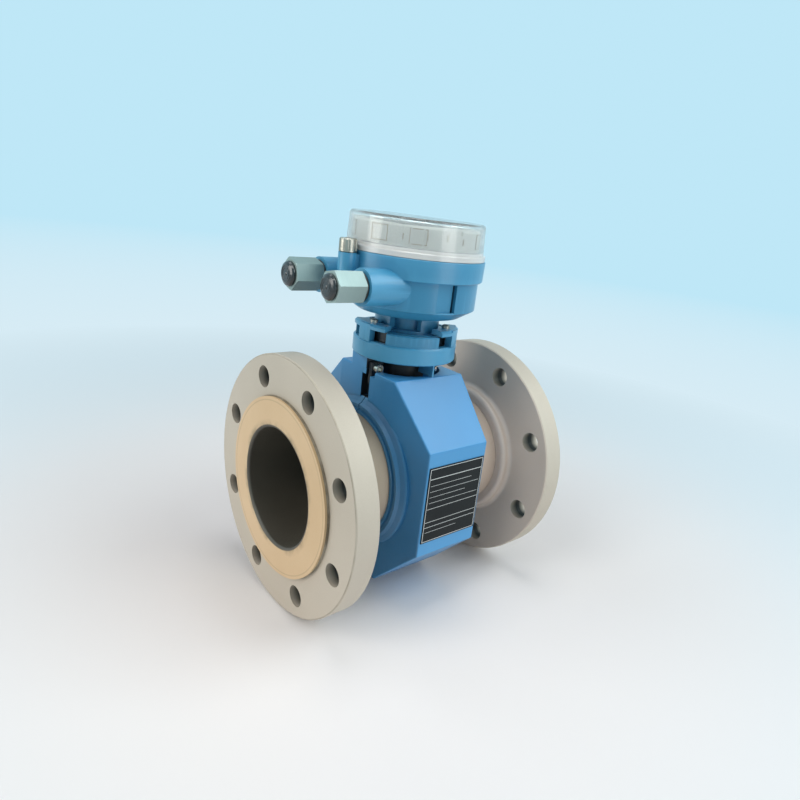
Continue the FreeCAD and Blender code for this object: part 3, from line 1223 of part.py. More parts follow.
# ---------------------------------------------------------------- cover
cord_r = D["seal_cord"] / 2
seal_z = D["cover_base"] + cord_r - 0.25
cover_seal = new_body("cover_seal")
cord = new_sketch(cover_seal, "cover_seal_outline", "XZ_Plane")
add_circle(cord, D["seal_circle"] / 2, seal_z, D["seal_cord"])
ring = cover_seal.newObject("PartDesign::Revolution", "cover_seal_ring")
ring.Profile = cord
ring.ReferenceAxis = (origin_part(cover_seal, "Z_Axis"), [""])
ring.Angle = 360
doc.recompute()
finish(cover_seal, "cover_seal")

cover = new_body("cover")
top_r = D["cover_crown_od"] / 2
inner_r = top_r - D["cover_wall"]
crown = D["cover_round"]
ceiling = D["cover_top"] - D["cover_wall"]
thread_r = D["cover_thread"] / 2
slot_in = D["seal_circle"] / 2 - cord_r - 0.15
slot_out = D["seal_circle"] / 2 + cord_r + 0.15
slot_top = seal_z + cord_r + 0.15
spin(cover, "cover_turned", "XZ_Plane", [
    (thread_r, D["cover_base"]), (slot_in, D["cover_base"]), (slot_in, slot_top),
    (slot_out, slot_top), (slot_out, D["cover_base"]), (D["cover_ring_od"] / 2, D["cover_base"]),
    (D["cover_ring_od"] / 2, D["cover_ring_top"] - 1),
    (D["cover_ring_od"] / 2 - 1, D["cover_ring_top"]), (D["cover_od"] / 2, D["cover_ring_top"]),
    (top_r, D["cover_top"]), (0, D["cover_top"]), (0, ceiling),
    (inner_r, ceiling), (thread_r, D["spigot_top"] + 2),
], "Z_Axis")
top_z = D["cover_top"].value
roof_z = ceiling.value
round_edges(cover, "cover_crown", lambda e: is_ring(e, "z", top_z, top_r.value), crown)
round_edges(cover, "cover_inner_crown", lambda e: is_ring(e, "z", roof_z, inner_r.value), crown - 1)
finish(cover, "cover")


# ---------------------------------------------------------------- export
doc.recompute()
for item in doc.Objects:
    if "Invalid" in item.State or "Error" in item.State:
        raise RuntimeError("%s did not build" % item.Name)
for name, item in NODES:
    shape = item.Shape
    if shape.isNull() or not shape.isValid():
        raise RuntimeError("%s has no valid shape" % name)
    shape.exportStep("parts/%s.step" % name)
    box = shape.BoundBox
    print("%-26s solids %d volume %9.0f  x %7.2f %7.2f  y %7.2f %7.2f  z %7.2f %7.2f" % (
        name, len(shape.Solids), shape.Volume, box.XMin, box.XMax, box.YMin, box.YMax,
        box.ZMin, box.ZMax))
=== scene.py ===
import json
import math
import bmesh
import bpy
from mathutils import Matrix, Vector


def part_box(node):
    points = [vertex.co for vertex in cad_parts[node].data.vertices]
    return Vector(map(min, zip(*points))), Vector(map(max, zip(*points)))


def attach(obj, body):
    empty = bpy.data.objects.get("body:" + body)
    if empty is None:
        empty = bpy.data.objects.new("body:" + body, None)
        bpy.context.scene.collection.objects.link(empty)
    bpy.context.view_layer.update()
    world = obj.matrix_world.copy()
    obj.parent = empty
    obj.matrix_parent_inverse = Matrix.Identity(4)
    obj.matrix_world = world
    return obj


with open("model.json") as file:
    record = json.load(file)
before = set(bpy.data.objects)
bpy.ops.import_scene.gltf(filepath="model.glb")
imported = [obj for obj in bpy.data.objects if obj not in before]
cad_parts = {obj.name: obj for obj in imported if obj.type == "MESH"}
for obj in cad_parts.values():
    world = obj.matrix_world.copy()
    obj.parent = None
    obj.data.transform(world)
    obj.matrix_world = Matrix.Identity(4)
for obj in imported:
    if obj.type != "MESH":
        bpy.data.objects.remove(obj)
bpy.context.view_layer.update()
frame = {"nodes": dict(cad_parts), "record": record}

# Lengths are in metres, angles in degrees, and colours in linear red, green and blue.
# A material's masks are ranges in its piece's own axes, which at rest are the frame's:
# X runs along the pipe from inlet to outlet, and Z up.

nodes = frame["nodes"]
scene = bpy.context.scene


# ---------------------------------------------------------------- node trees
def opaque(colour):
    """Add a full alpha to a colour of three numbers."""
    return (*colour, 1.0)


class Tree:
    """A node tree, with short ways to add and link nodes."""

    def __init__(self, tree):
        self.tree = tree

    def add(self, kind, **settings):
        node = self.tree.nodes.new(kind)
        for key, value in settings.items():
            setattr(node, key, value)
        return node

    def feed(self, socket, value):
        """Link an input to an output, or set its own number or colour."""
        if isinstance(value, bpy.types.NodeSocket):
            self.tree.links.new(value, socket)
        elif isinstance(value, (tuple, list)):
            socket.default_value = opaque(value)
        else:
            socket.default_value = value

    def math(self, operation, a, b=0.0, clamp=False):
        """One Math node; a and b are outputs or numbers."""
        node = self.add("ShaderNodeMath", operation=operation, use_clamp=clamp)
        self.feed(node.inputs[0], a)
        self.feed(node.inputs[1], b)
        return node.outputs[0]

    def seen(self):
        """1 for rays from the camera, from a reflection and through a clear piece."""
        rays = self.add("ShaderNodeLightPath").outputs
        direct = self.math("ADD", rays["Is Camera Ray"], rays["Is Glossy Ray"], clamp=True)
        return self.math("ADD", direct, rays["Is Transmission Ray"], clamp=True)

    def blend(self, factor, first, second):
        """Blend two shaders."""
        node = self.add("ShaderNodeMixShader")
        for socket, value in zip(node.inputs, (factor, first, second)):
            self.feed(socket, value)
        return node.outputs[0]


class Graph(Tree):
    """A material round one Principled shader, laid out in its piece's own axes."""

    def __init__(self, name):
        self.material = bpy.data.materials.new(name)
        self.material.use_nodes = True
        super().__init__(self.material.node_tree)
        self.tree.nodes.clear()
        self.output = self.add("ShaderNodeOutputMaterial")
        self.shader = self.add("ShaderNodeBsdfPrincipled")
        self.feed(self.output.inputs["Surface"], self.shader.outputs["BSDF"])
        self.place = self.add("ShaderNodeTexCoord").outputs["Object"]

    def noise(self, scale, detail=3.0, rough=0.5, stretch=None):
        """Noise over the piece; stretch first scales it along X, Y and Z."""
        place = self.place
        if stretch is not None:
            mapping = self.add("ShaderNodeMapping")
            mapping.inputs["Scale"].default_value = stretch
            self.feed(mapping.inputs["Vector"], place)
            place = mapping.outputs["Vector"]
        node = self.add("ShaderNodeTexNoise")
        for key, value in (("Vector", place), ("Scale", scale), ("Detail", detail),
                           ("Roughness", rough)):
            self.feed(node.inputs[key], value)
        return node.outputs["Fac"]

    def ramp(self, source, stops, interpolation="LINEAR"):
        """Colours along a source from 0 to 1; stops are (position, colour) pairs in order."""
        node = self.add("ShaderNodeValToRGB")
        node.color_ramp.interpolation = interpolation
        elements = node.color_ramp.elements
        elements[0].position, elements[0].color = stops[0][0], opaque(stops[0][1])
        elements[1].position, elements[1].color = stops[-1][0], opaque(stops[-1][1])
        for position, colour in stops[1:-1]:
            elements.new(position).color = opaque(colour)
        self.feed(node.inputs["Fac"], source)
        return node.outputs["Color"]

    def mix(self, factor, a, b):
        """Mix two colours; the node keeps them at inputs 6 and 7 and the result at output 2."""
        node = self.add("ShaderNodeMix", data_type="RGBA")
        for index, value in ((0, factor), (6, a), (7, b)):
            self.feed(node.inputs[index], value)
        return node.outputs[2]

    def span(self, source, low, high, to_low, to_high):
        """Carry one range over to another, held at both ends."""
        node = self.add("ShaderNodeMapRange")
        for key, value in (("Value", source), ("From Min", low), ("From Max", high),
                           ("To Min", to_low), ("To Max", to_high)):
            self.feed(node.inputs[key], value)
        return node.outputs["Result"]

    def vary(self, noise, low, high):
        """A number that wanders from low to high with a noise, which mostly keeps to 0.3 to 0.7."""
        return self.span(noise, 0.3, 0.7, low, high)

    def bump(self, height, distance, strength, onto=None):
        """Relief from a noise, laid onto an earlier one where that is given."""
        node = self.add("ShaderNodeBump")
        for key, value in (("Height", height), ("Distance", distance), ("Strength", strength)):
            self.feed(node.inputs[key], value)
        if onto is not None:
            self.feed(node.inputs["Normal"], onto)
        return node.outputs["Normal"]

    def axes(self):
        """The place on the piece as three outputs."""
        split = self.add("ShaderNodeSeparateXYZ")
        self.feed(split.inputs["Vector"], self.place)
        return split.outputs[0], split.outputs[1], split.outputs[2]

    def length(self, a, b):
        """Distance from the origin in the plane of a and b."""
        total = self.math("ADD", self.math("MULTIPLY", a, a), self.math("MULTIPLY", b, b))
        return self.math("SQRT", total)

    def within(self, value, low, high, soft=0.0003):
        """A mask that is 1 between two values and fades over twice soft at both."""
        rising = self.span(value, low - soft, low + soft, 0.0, 1.0)
        falling = self.span(value, high - soft, high + soft, 1.0, 0.0)
        return self.math("MULTIPLY", rising, falling)

    def finish(self, **inputs):
        """Set the shader's inputs, written with _ for a space, and give the material."""
        for key, value in inputs.items():
            self.feed(self.shader.inputs[key.replace("_", " ")], value)
        return self.material


# ---------------------------------------------------------------- painted pieces
# Painted shade: a dark colour laid into recesses, channels and shaded ends, where shade falls.
PAINTED_SHADE = (0.010, 0.016, 0.022)
EDGE_POINTINESS = (0.5, 0.56)
CATCH_RING_RADII = (0.0300, 0.0411)
UNDER_HOODS_Z = (0.1255, 0.1362)
CHANNEL_X = (0.0315, 0.0402)          # the open channels along the joint of the two shells
CHANNEL_Z = (0.0716, 0.0985)
CHANNEL_HALF_WIDTH = (0.0061, 0.0064)
EARS_Y = (-0.0054, 0.0008)            # the sides of the front screw ears, short of their face
EARS_START_Z = (0.0983, 0.0988)
COLLAR_START_X = (0.0340, 0.0365)     # the collars at the ends of the shells
COLLAR_RADII = (0.0700, 0.0735)
SHELL_END_X = (0.0397, 0.0402)        # the end faces, once the draft of their sides is added
SHELL_END_Z = (0.035, 0.085)
DRAFT_NEAR, DRAFT_FAR = (0.0, 0.040, 0.0, 0.0005), (0.040, 0.089, 0.0, 0.0055)
# Strength of the painted shade on the collars and on the end faces, which the flanges shade
COLLAR_SHADE, END_SHADE = 0.45, 0.30
TURNING_RIM_RADII = (0.0372, 0.0390)
TURNING_RIM_Z = (0.1200, 0.1350)
GROOVE_X = (-0.0022, 0.0)             # the upright groove in each side flat
GROOVE_Y = (0.0500, 0.0564)
GROOVE_Z = (0.1598, 0.1842)


def edge_highlight(g):
    """A mask that is 1 along convex edges, where a painted highlight goes."""
    geometry = g.add("ShaderNodeNewGeometry")
    return g.span(geometry.outputs["Pointiness"], *EDGE_POINTINESS, 0.0, 1.0)


def painted(name, colour, light, dark, shade=None):
    """Powder coat: orange peel and cloudy tone, with a painted highlight along edges and painted
    shade where shade says.
    """
    g = Graph(name)
    cloud = g.noise(9.0, 4.0)
    peel = g.noise(520.0, 2.0)
    speck = g.noise(2400.0, 1.0)
    base = g.ramp(cloud, [(0.30, dark), (0.55, colour), (0.78, light)])
    # painted highlight: convex edges take the light tone
    coat = g.mix(edge_highlight(g), base, light)
    if shade is not None:
        # painted shade where the shade mask is 1
        coat = g.mix(shade(g), coat, PAINTED_SHADE)
    relief = g.bump(speck, 0.00003, 0.4, g.bump(peel, 0.00012, 0.55))
    return g.finish(Base_Color=coat, Roughness=g.vary(cloud, 0.31, 0.43), Normal=relief,
                    Coat_Weight=0.25, Coat_Roughness=0.22)


def neck_painted_shade(g):
    """Painted shade inside the catch ring of the neck, under its hoods."""
    x, y, z = g.axes()
    ring = g.within(g.length(x, y), *CATCH_RING_RADII)
    return g.math("MULTIPLY", ring, g.within(z, *UNDER_HOODS_Z))


def shell_painted_shade(g):
    """Painted shade in the open channels and round the joint screws, and on the collars and end
    faces of the shells.
    """
    x, y, z = g.axes()
    along, side, rise = (g.math("ABSOLUTE", value) for value in (x, y, z))
    channel = g.math("MULTIPLY", g.within(along, *CHANNEL_X), g.within(rise, *CHANNEL_Z))
    channel = g.math("MULTIPLY", channel, g.span(side, *CHANNEL_HALF_WIDTH, 1.0, 0.0))
    ears = g.math("MULTIPLY", g.within(y, *EARS_Y, soft=0.0002),
                  g.span(rise, *EARS_START_Z, 0.0, 1.0))
    collar = g.math("MULTIPLY", g.span(along, *COLLAR_START_X, 0.0, COLLAR_SHADE),
                    g.span(g.length(y, z), *COLLAR_RADII, 1.0, 0.0))
    draft = g.math("ADD", g.span(side, *DRAFT_NEAR), g.span(side, *DRAFT_FAR))
    end = g.math("MULTIPLY", g.span(g.math("ADD", along, draft), *SHELL_END_X, 0.0, END_SHADE),
                 g.span(z, *SHELL_END_Z, 1.0, 0.0))
    hollow_shade = g.math("ADD", channel, ears, clamp=True)
    return g.math("ADD", hollow_shade, g.math("MAXIMUM", collar, end), clamp=True)


def housing_painted_shade(g):
    """Painted shade on the turning flange's rim and in the grooves of both side flats."""
    x, y, z = g.axes()
    rim = g.math("MULTIPLY", g.within(g.length(x, y), *TURNING_RIM_RADII),
                 g.within(z, *TURNING_RIM_Z))
    across = g.math("MULTIPLY", g.within(x, *GROOVE_X, soft=0.0001),
                    g.within(g.math("ABSOLUTE", y), *GROOVE_Y, soft=0.0001))
    groove = g.math("MULTIPLY", across, g.within(z, *GROOVE_Z))
    return g.math("ADD", rim, groove, clamp=True)


# ---------------------------------------------------------------- coated steel
BOLT_CIRCLE, BOLT_HOLE, BOLTS = 0.1905, 0.01905, 8
HOLE_FADE = (0.0001, 0.0006)          # past the hole's own radius
HOLE_X = (0.1045, 0.1155)             # the middle of a hole's depth, so that its ends stay pale
HUB_END_X = (0.0985, 0.1005)          # where the hub meets the back of the plate
HUB_TAN_AND_LIT = (0.0, 0.01, 0.4, 0.8)      # over X: a weaker tan on the inlet's hub, a stronger one on the outlet's, where the extra is painted light
SEAM_RADII = (0.0778, 0.0792)         # on both sides of the raised face's rim
RIM_RADII = (0.1130, 0.1139)
RIM_WEIGHT = 0.55
FACE_X = (0.1195, 0.1205)             # beyond this lies only the flange's outward side
# Painted light along the tube, from none at the first X to full at the second
TUBE_LIT_X = (-0.02, 0.06)
STAIN = (32.0, 4.0, 0.6)              # scale, detail and roughness of the stains' noise
# The middle colour is the painted shade inside the bolt holes; the last is the painted shadow round
# the raised face's rim and the dark line round the flange's rim
HUB_TAN, HOLE_SHADE, LINE_BROWN = (0.760, 0.620, 0.530), (0.022, 0.022, 0.018), (0.16, 0.12, 0.07)
# A pale tan of the tube's tone, which is also its painted light towards the outlet
TUBE_PALE_AND_LIT = (0.580, 0.462, 0.372)


def coated_steel(name, colour, light, dark, marks):
    """Matt sprayed coat with fine grain and faint stains, and the marks of one kind of piece."""
    g = Graph(name)
    cloud = g.noise(5.0, 3.0, 0.5)
    grain = g.noise(900.0, 2.0)
    base = g.ramp(cloud, [(0.28, dark), (0.5, colour), (0.75, light)])
    spots = g.ramp(g.noise(*STAIN), [(0.60, (0, 0, 0)), (0.75, (0.12, 0.12, 0.12))])
    coat = marks(g, g.mix(spots, base, dark))
    return g.finish(Base_Color=coat, Metallic=0.25, Roughness=g.vary(grain, 0.52, 0.68),
                    Normal=g.bump(grain, 0.00008, 0.45))


def tube_painted_light(g, coat):
    """Painted light: the tube turns paler towards the outlet, where more light falls on it."""
    x = g.axes()[0]
    return g.mix(g.span(x, *TUBE_LIT_X, 0.0, 1.0), coat, TUBE_PALE_AND_LIT)


def bolt_distance(g, reach, y, z):
    """Distance to the middle of the nearest bolt hole, seen along the pipe."""
    half_pitch = math.pi / BOLTS
    circle = BOLT_CIRCLE / 2
    angle = g.math("ADD", g.math("ARCTAN2", z, y), math.pi + half_pitch)
    turn = g.math("COSINE", g.math("PINGPONG", angle, half_pitch))
    swing = g.math("MULTIPLY", g.math("MULTIPLY", reach, turn), 2 * circle)
    squares = g.math("ADD", g.math("MULTIPLY", reach, reach), circle * circle)
    return g.math("SQRT", g.math("MAXIMUM", g.math("SUBTRACT", squares, swing), 0.0))


def flange_marks(g, coat):
    """Tan hubs, with painted light on the outlet's; painted shade in the bolt holes; a painted
    shadow line round the raised face's rim, and a dark line round the flange's rim.
    """
    x, y, z = g.axes()
    reach = g.length(y, z)
    depth = g.math("ABSOLUTE", x)
    hub = g.math("MULTIPLY", g.span(depth, *HUB_END_X, 1.0, 0.0), g.span(x, *HUB_TAN_AND_LIT))
    # tan hubs, the outlet's paler still as painted light
    coat = g.mix(hub, coat, HUB_TAN)
    hole = g.span(bolt_distance(g, reach, y, z), *(BOLT_HOLE / 2 + fade for fade in HOLE_FADE),
                  1.0, 0.0)
    hole = g.math("MULTIPLY", hole, g.within(depth, *HOLE_X, soft=0.0035))
    # painted shade inside the bolt holes
    coat = g.mix(hole, coat, HOLE_SHADE)
    seam = g.within(reach, *SEAM_RADII, soft=0.0006)
    rim = g.math("MULTIPLY", g.within(reach, *RIM_RADII), RIM_WEIGHT)
    lines = g.math("MULTIPLY", g.math("ADD", seam, rim, clamp=True),
                   g.span(depth, *FACE_X, 0.0, 1.0))
    patchy = g.span(g.noise(*STAIN), 0.35, 0.60, 0.25, 0.85)
    # painted shadow round the raised face's rim, and a dark line round the flange's rim
    return g.mix(g.math("MULTIPLY", lines, patchy), coat, LINE_BROWN)


# ---------------------------------------------------------------- other materials
BORE_EDGE_RADII = (0.0540, 0.0549)    # from the dark bore to the turned-out face
LIP_RADII = (0.0545, 0.0600)
FACE_BORDER_RADII = (0.0752, 0.0760)
BORDER_WEIGHT = 0.35
LINER_TAN = (0.62, 0.435, 0.245), (0.74, 0.545, 0.335)
LINER_DARK = (0.060, 0.052, 0.040), (0.100, 0.088, 0.066)
# Stains near the bore, and the painted shadow line round the face's outer border
LINER_SOIL_AND_SHADOW = (0.22, 0.15, 0.08)
COVER_RING_Z = (0.2090, 0.2100)       # top of the cover's whitish lower ring
COVER_TOP_Z = (0.2295, 0.2303)
RING_CLEAR, WALL_CLEAR, TOP_ADDS = 0.35, 0.80, 0.13


def turned_metal(name, colour, dark, rough, metallic=1.0, axis="X", depth=0.00002):
    """Machined metal with fine lines round one axis."""
    g = Graph(name)
    lathe = g.noise(1.0, 2.0, 0.6, {"X": (900.0, 6.0, 6.0), "Z": (6.0, 6.0, 900.0)}[axis])
    base = g.ramp(g.noise(14.0, 4.0), [(0.3, dark), (0.7, colour)])
    return g.finish(Base_Color=base, Metallic=metallic,
                    Roughness=g.vary(lathe, rough - 0.06, rough + 0.08),
                    Normal=g.bump(lathe, depth, 0.5))


def rubber(name, colour, light, rough):
    """Smooth rubber with a faint grain."""
    g = Graph(name)
    fine = g.noise(700.0, 2.0)
    base = g.ramp(g.noise(11.0, 4.0), [(0.3, colour), (0.75, light)])
    return g.finish(Base_Color=base, Roughness=g.vary(fine, rough - 0.06, rough + 0.06),
                    Normal=g.bump(fine, 0.00004, 0.4))


def plastic(name, colour, light, rough=0.4, coat=0.0, shine=0.5):
    """Moulded plastic with a fine skin."""
    g = Graph(name)
    fine = g.noise(600.0, 2.0)
    base = g.ramp(g.noise(16.0, 3.0), [(0.3, colour), (0.75, light)])
    return g.finish(Base_Color=base, Roughness=g.vary(fine, rough - 0.04, rough + 0.06),
                    Normal=g.bump(fine, 0.00003, 0.35),
                    Coat_Weight=coat, Coat_Roughness=0.12, Specular_IOR_Level=shine)


def lined(name):
    """Hard rubber: pale tan on the turned-out face, dark in the bore, soiled where they meet, with
    a painted shadow line round the face's outer border.
    """
    g = Graph(name)
    _, y, z = g.axes()
    reach = g.length(y, z)
    cloud = g.noise(10.0, 4.0)
    fine = g.noise(600.0, 2.0)
    blotch = g.noise(38.0, 5.0, 0.65)
    lathe = g.noise(1.0, 2.0, 0.6, (500.0, 4.0, 4.0))
    tan, dark = (g.ramp(cloud, list(zip((0.3, 0.75), pair))) for pair in (LINER_TAN, LINER_DARK))
    smear = g.math("MULTIPLY", g.span(reach, *LIP_RADII, 1.0, 0.0),
                   g.span(blotch, 0.42, 0.62, 0.0, 0.75))
    border = g.math("MULTIPLY", g.within(reach, *FACE_BORDER_RADII, soft=0.0004),
                    BORDER_WEIGHT)
    # stains near the bore, and a painted shadow line round the face's outer border
    face = g.mix(g.math("ADD", smear, border, clamp=True), tan, LINER_SOIL_AND_SHADOW)
    base = g.mix(g.span(reach, *BORE_EDGE_RADII, 0.0, 1.0), dark, face)
    return g.finish(Base_Color=base, Roughness=g.vary(fine, 0.44, 0.58),
                    Normal=g.bump(lathe, 0.00003, 0.4, g.bump(fine, 0.00004, 0.4)))


def clear_cover(name):
    """Clear moulded cover: whitish at its lower ring, clearer up its wall, glassy on top."""
    g = Graph(name)
    z = g.axes()[2]
    cloud = g.noise(20.0, 3.0)
    base = g.ramp(cloud, [(0.3, (0.88, 0.87, 0.84)), (0.7, (0.93, 0.92, 0.90))])
    clear = g.math("ADD", g.span(z, *COVER_RING_Z, RING_CLEAR, WALL_CLEAR),
                   g.span(z, *COVER_TOP_Z, 0.0, TOP_ADDS))
    return g.finish(Base_Color=base, Roughness=g.vary(cloud, 0.06, 0.14),
                    Normal=g.bump(g.noise(300.0, 2.0), 0.00002, 0.3),
                    Transmission_Weight=clear, IOR=1.40)


def wound(name):
    """Varnished winding wire."""
    g = Graph(name)
    lines = g.noise(1.0, 2.0, 0.6, (5.0, 5.0, 1400.0))
    base = g.ramp(lines, [(0.3, (0.30, 0.10, 0.04)), (0.7, (0.62, 0.27, 0.12))])
    return g.finish(Base_Color=base, Metallic=0.8, Roughness=0.35,
                    Normal=g.bump(lines, 0.0001, 0.6))


# ---------------------------------------------------------------- a look for each piece
# Colours run middle, light, dark in paint and coated steel, light and dark in metal,
# and dark and light in rubber and plastic. A number after them is the roughness.
BLUES = (0.036, 0.252, 0.540), (0.060, 0.310, 0.620), (0.028, 0.222, 0.485)
HOUSING_BLUES = (0.040, 0.245, 0.425), (0.062, 0.305, 0.510), (0.032, 0.215, 0.380)
FLANGE_TANS = (0.550, 0.485, 0.400), (0.600, 0.535, 0.445), (0.490, 0.430, 0.350)
TUBE_TANS = (0.420, 0.340, 0.250), TUBE_PALE_AND_LIT, (0.365, 0.290, 0.208)
looks = {
    "flange_steel": coated_steel("flange_coat", *FLANGE_TANS, flange_marks),
    "tube_steel": coated_steel("tube_coat", *TUBE_TANS, tube_painted_light),
    "liner_rubber": lined("liner_skin"),
    "electrode_steel": turned_metal("electrode_metal", (0.70, 0.70, 0.69), (0.55, 0.55, 0.54),
                                    0.22),
    "insulator": plastic("insulator_skin", (0.80, 0.79, 0.74), (0.86, 0.85, 0.80)),
    "coil_copper": wound("winding"),
    "magnet_iron": turned_metal("rolled_iron", (0.20, 0.20, 0.21), (0.12, 0.12, 0.13), 0.5),
    "blue_paint": painted("blue_coat", *BLUES),
    "seal_rubber": rubber("seal_skin", (0.012, 0.012, 0.012), (0.025, 0.025, 0.025), 0.5),
    "screw_steel": turned_metal("screw_metal", (0.50, 0.47, 0.41), (0.30, 0.27, 0.22), 0.34,
                                axis="Z"),
    "plate_face": plastic("plate_print", (0.006, 0.008, 0.009), (0.011, 0.014, 0.015), 0.5,
                          shine=0.2),
    "nickel_brass": turned_metal("nickel", (0.33, 0.41, 0.39), (0.24, 0.31, 0.29), 0.48,
                                 metallic=0.7, depth=0.000004),
    "black_plastic": plastic("black_moulding", (0.006, 0.006, 0.006), (0.012, 0.012, 0.012), 0.20,
                             coat=0.5),
    "white_plastic": plastic("white_moulding", (0.79, 0.78, 0.74), (0.84, 0.83, 0.80), 0.42),
    "display_glass": plastic("display_face", (0.30, 0.32, 0.33), (0.36, 0.38, 0.39), 0.40),
    "board_green": plastic("board_lacquer", (0.02, 0.12, 0.05), (0.03, 0.17, 0.07), 0.3,
                           coat=0.3),
    "clear_cover": clear_cover("clear_moulding"),
}
own_looks = {
    "front_shell": painted("blue_coat_front_shell", *BLUES, shade=shell_painted_shade),
    "rear_shell": painted("blue_coat_rear_shell", *BLUES, shade=shell_painted_shade),
    "shell_screws": turned_metal("bright_screw", (0.78, 0.72, 0.62), (0.55, 0.50, 0.42), 0.26),
    "neck_base": painted("blue_coat_neck", *HOUSING_BLUES, shade=neck_painted_shade),
    "transmitter_housing": painted("blue_coat_housing", *HOUSING_BLUES, shade=housing_painted_shade),
}
slots = {entry["node"]: entry["material_slot"] for entry in frame["record"]["subparts"]}
for name, obj in nodes.items():
    obj.data.materials.clear()
    obj.data.materials.append(own_looks.get(name, looks[slots[name]]))


# ---------------------------------------------------------------- small pieces
ROOT = 0.0002                         # how deep a piece is set into what carries it
PLATE_INSET, PLATE_LINE, PLATE_PROUD = 0.0009, 0.0005, 0.00006
# Rule lines on the plate: distance from its top and both ends as shares of the plate, and weight.
PLATE_RULES = [
    (0.145, 0.03, 0.97, 0.0006), (0.235, 0.05, 0.80, 0.0003), (0.310, 0.05, 0.95, 0.0003),
    (0.385, 0.05, 0.70, 0.0003), (0.460, 0.05, 0.95, 0.0003), (0.540, 0.03, 0.97, 0.0004),
    (0.720, 0.03, 0.97, 0.0004), (0.790, 0.03, 0.97, 0.0004), (0.860, 0.05, 0.62, 0.0003),
]
PLUG_RING_RADII = (0.0044, 0.0052), (0.0064, 0.0071)
# One side of a ring's section: distance behind the plug's face, and from the side's foot.
PLUG_RING_SIDE = [(ROOT, 0.0), (-0.00015, 0.0001), (-0.0003, 0.00025)]
# Section of the button on a plug: distance behind the plug's face, and radius.
PLUG_BUTTON = [
    (ROOT, 0.00002), (-0.0005, 0.00002), (-0.0004, 0.0012), (-0.0001, 0.0019), (ROOT, 0.0020),
]
DISPLAY_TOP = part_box("display_module")[1][2]
BORDER_SIZE, BORDER_MIDDLE_Y = (0.054, 0.028), 0.005
BORDER_WIDTH, BORDER_HEIGHT, BORDER_BEVEL = 0.0018, 0.0009, 0.0002
SHARP_EDGE = 1.0                      # radians between two faces
WINDOW_LOW, WINDOW_HIGH = (-0.0250, -0.0070), (0.0250, 0.0170)
WINDOW_RISE, WINDOW_BEVEL = 0.0004, 0.0001
KEYS_X, KEYS_Y = (-0.016, 0.0, 0.016), -0.0175
# Section of a key: radius, and height above the display's top.
KEY_SECTION = [(0.0, -ROOT), (0.0036, -ROOT), (0.0036, 0.0005), (0.0033, 0.0008), (0.0, 0.0009)]
CARRIER_DRUM, CARRIER_FOOT, CARRIER_TOP_GAP = 0.0558, 0.2125, 0.0012
BAR_HALF, BAR_ROOT, BAR_PROUD, BAR_BEVEL, BAR_LAP = 0.0004, 0.0006, 0.0007, 0.00012, 0.0002
LONG_SIDE_PARTS = 4                   # a frame's long sides follow the drum in straight parts
CARRIER_FRAMES = [                    # azimuth of the middle, and half the opening
    (-162.0, 7.5), (-128.5, 7.0), (-60.0, 9.0), (-20.0, 7.0),
    (28.0, 8.0), (74.0, 7.0), (120.0, 8.0), (160.0, 7.0),
]
# Azimuth of a latch, and its height over the frames' foot.
CARRIER_LATCHES = [(-141.0, 0.003), (-121.0, 0.004), (-104.0, 0.005), (-88.0, 0.003)]
LATCH_LENGTH, LATCH_PROUD = 0.0050, 0.0009


def new_piece(name, build, look, body):
    """Make a mesh piece, give it a look and let it ride on a body."""
    mesh = bpy.data.meshes.new(name)
    bm = bmesh.new()
    build(bm)
    bmesh.ops.recalc_face_normals(bm, faces=bm.faces)
    bm.to_mesh(mesh)
    bm.free()
    obj = bpy.data.objects.new(name, mesh)
    scene.collection.objects.link(obj)
    mesh.materials.append(look)
    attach(obj, body)


def round_off(bm, edges, offset):
    """Give edges a small round in two steps."""
    bmesh.ops.bevel(bm, geom=edges, offset=offset, segments=2, profile=0.5, affect="EDGES",
                    material=-1)


def add_block(bm, low, high, bevel=0.0):
    """Add a closed block between two corners."""
    verts = bmesh.ops.create_cube(bm, size=1.0)["verts"]
    middle = (Vector(low) + Vector(high)) / 2
    spread = Vector(high) - Vector(low)
    for vert in verts:
        vert.co = vert.co * spread + middle
    if bevel:
        round_off(bm, list({edge for vert in verts for edge in vert.link_edges}), bevel)


def revolve(bm, verts, edges, centre, axis, steps):
    """Turn a section once round an axis and close it on itself."""
    bmesh.ops.spin(bm, geom=verts + edges, cent=centre, axis=axis, angle=2 * math.pi, steps=steps,
                   use_merge=True, use_duplicate=False)


def plate_marks(bm):
    """Border and rule lines of a blank form, standing just proud of the plate."""
    low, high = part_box("nameplate")
    front = low[1]
    wide = high[0] - low[0]
    tall = high[2] - low[2]
    corner = PLATE_INSET + 1.2 * PLATE_LINE  # the upright lines stop just short of the level ones

    def strip(x0, z0, x1, z1):
        add_block(bm, (low[0] + x0, front - PLATE_PROUD, low[2] + z0),
                  (low[0] + x1, front + ROOT, low[2] + z1))

    for base in (PLATE_INSET, tall - PLATE_INSET - PLATE_LINE):
        strip(PLATE_INSET, base, wide - PLATE_INSET, base + PLATE_LINE)
    for left in (PLATE_INSET, wide - PLATE_INSET - PLATE_LINE):
        strip(left, corner, left + PLATE_LINE, tall - corner)
    for share, start, end, weight in PLATE_RULES:
        middle = tall * (1 - share)
        strip(wide * start, middle - weight / 2, wide * end, middle + weight / 2)


def add_turned(bm, section, centre, steps=48):
    """Revolve a closed section of (distance along X, radius) pairs round an axis along X."""
    x0, y0, z0 = centre
    verts = [bm.verts.new((x0 + x, y0, z0 + radius)) for x, radius in section]
    edges = [bm.edges.new((verts[i - 1], verts[i])) for i in range(len(verts))]
    revolve(bm, verts, edges, centre, (1, 0, 0), steps)


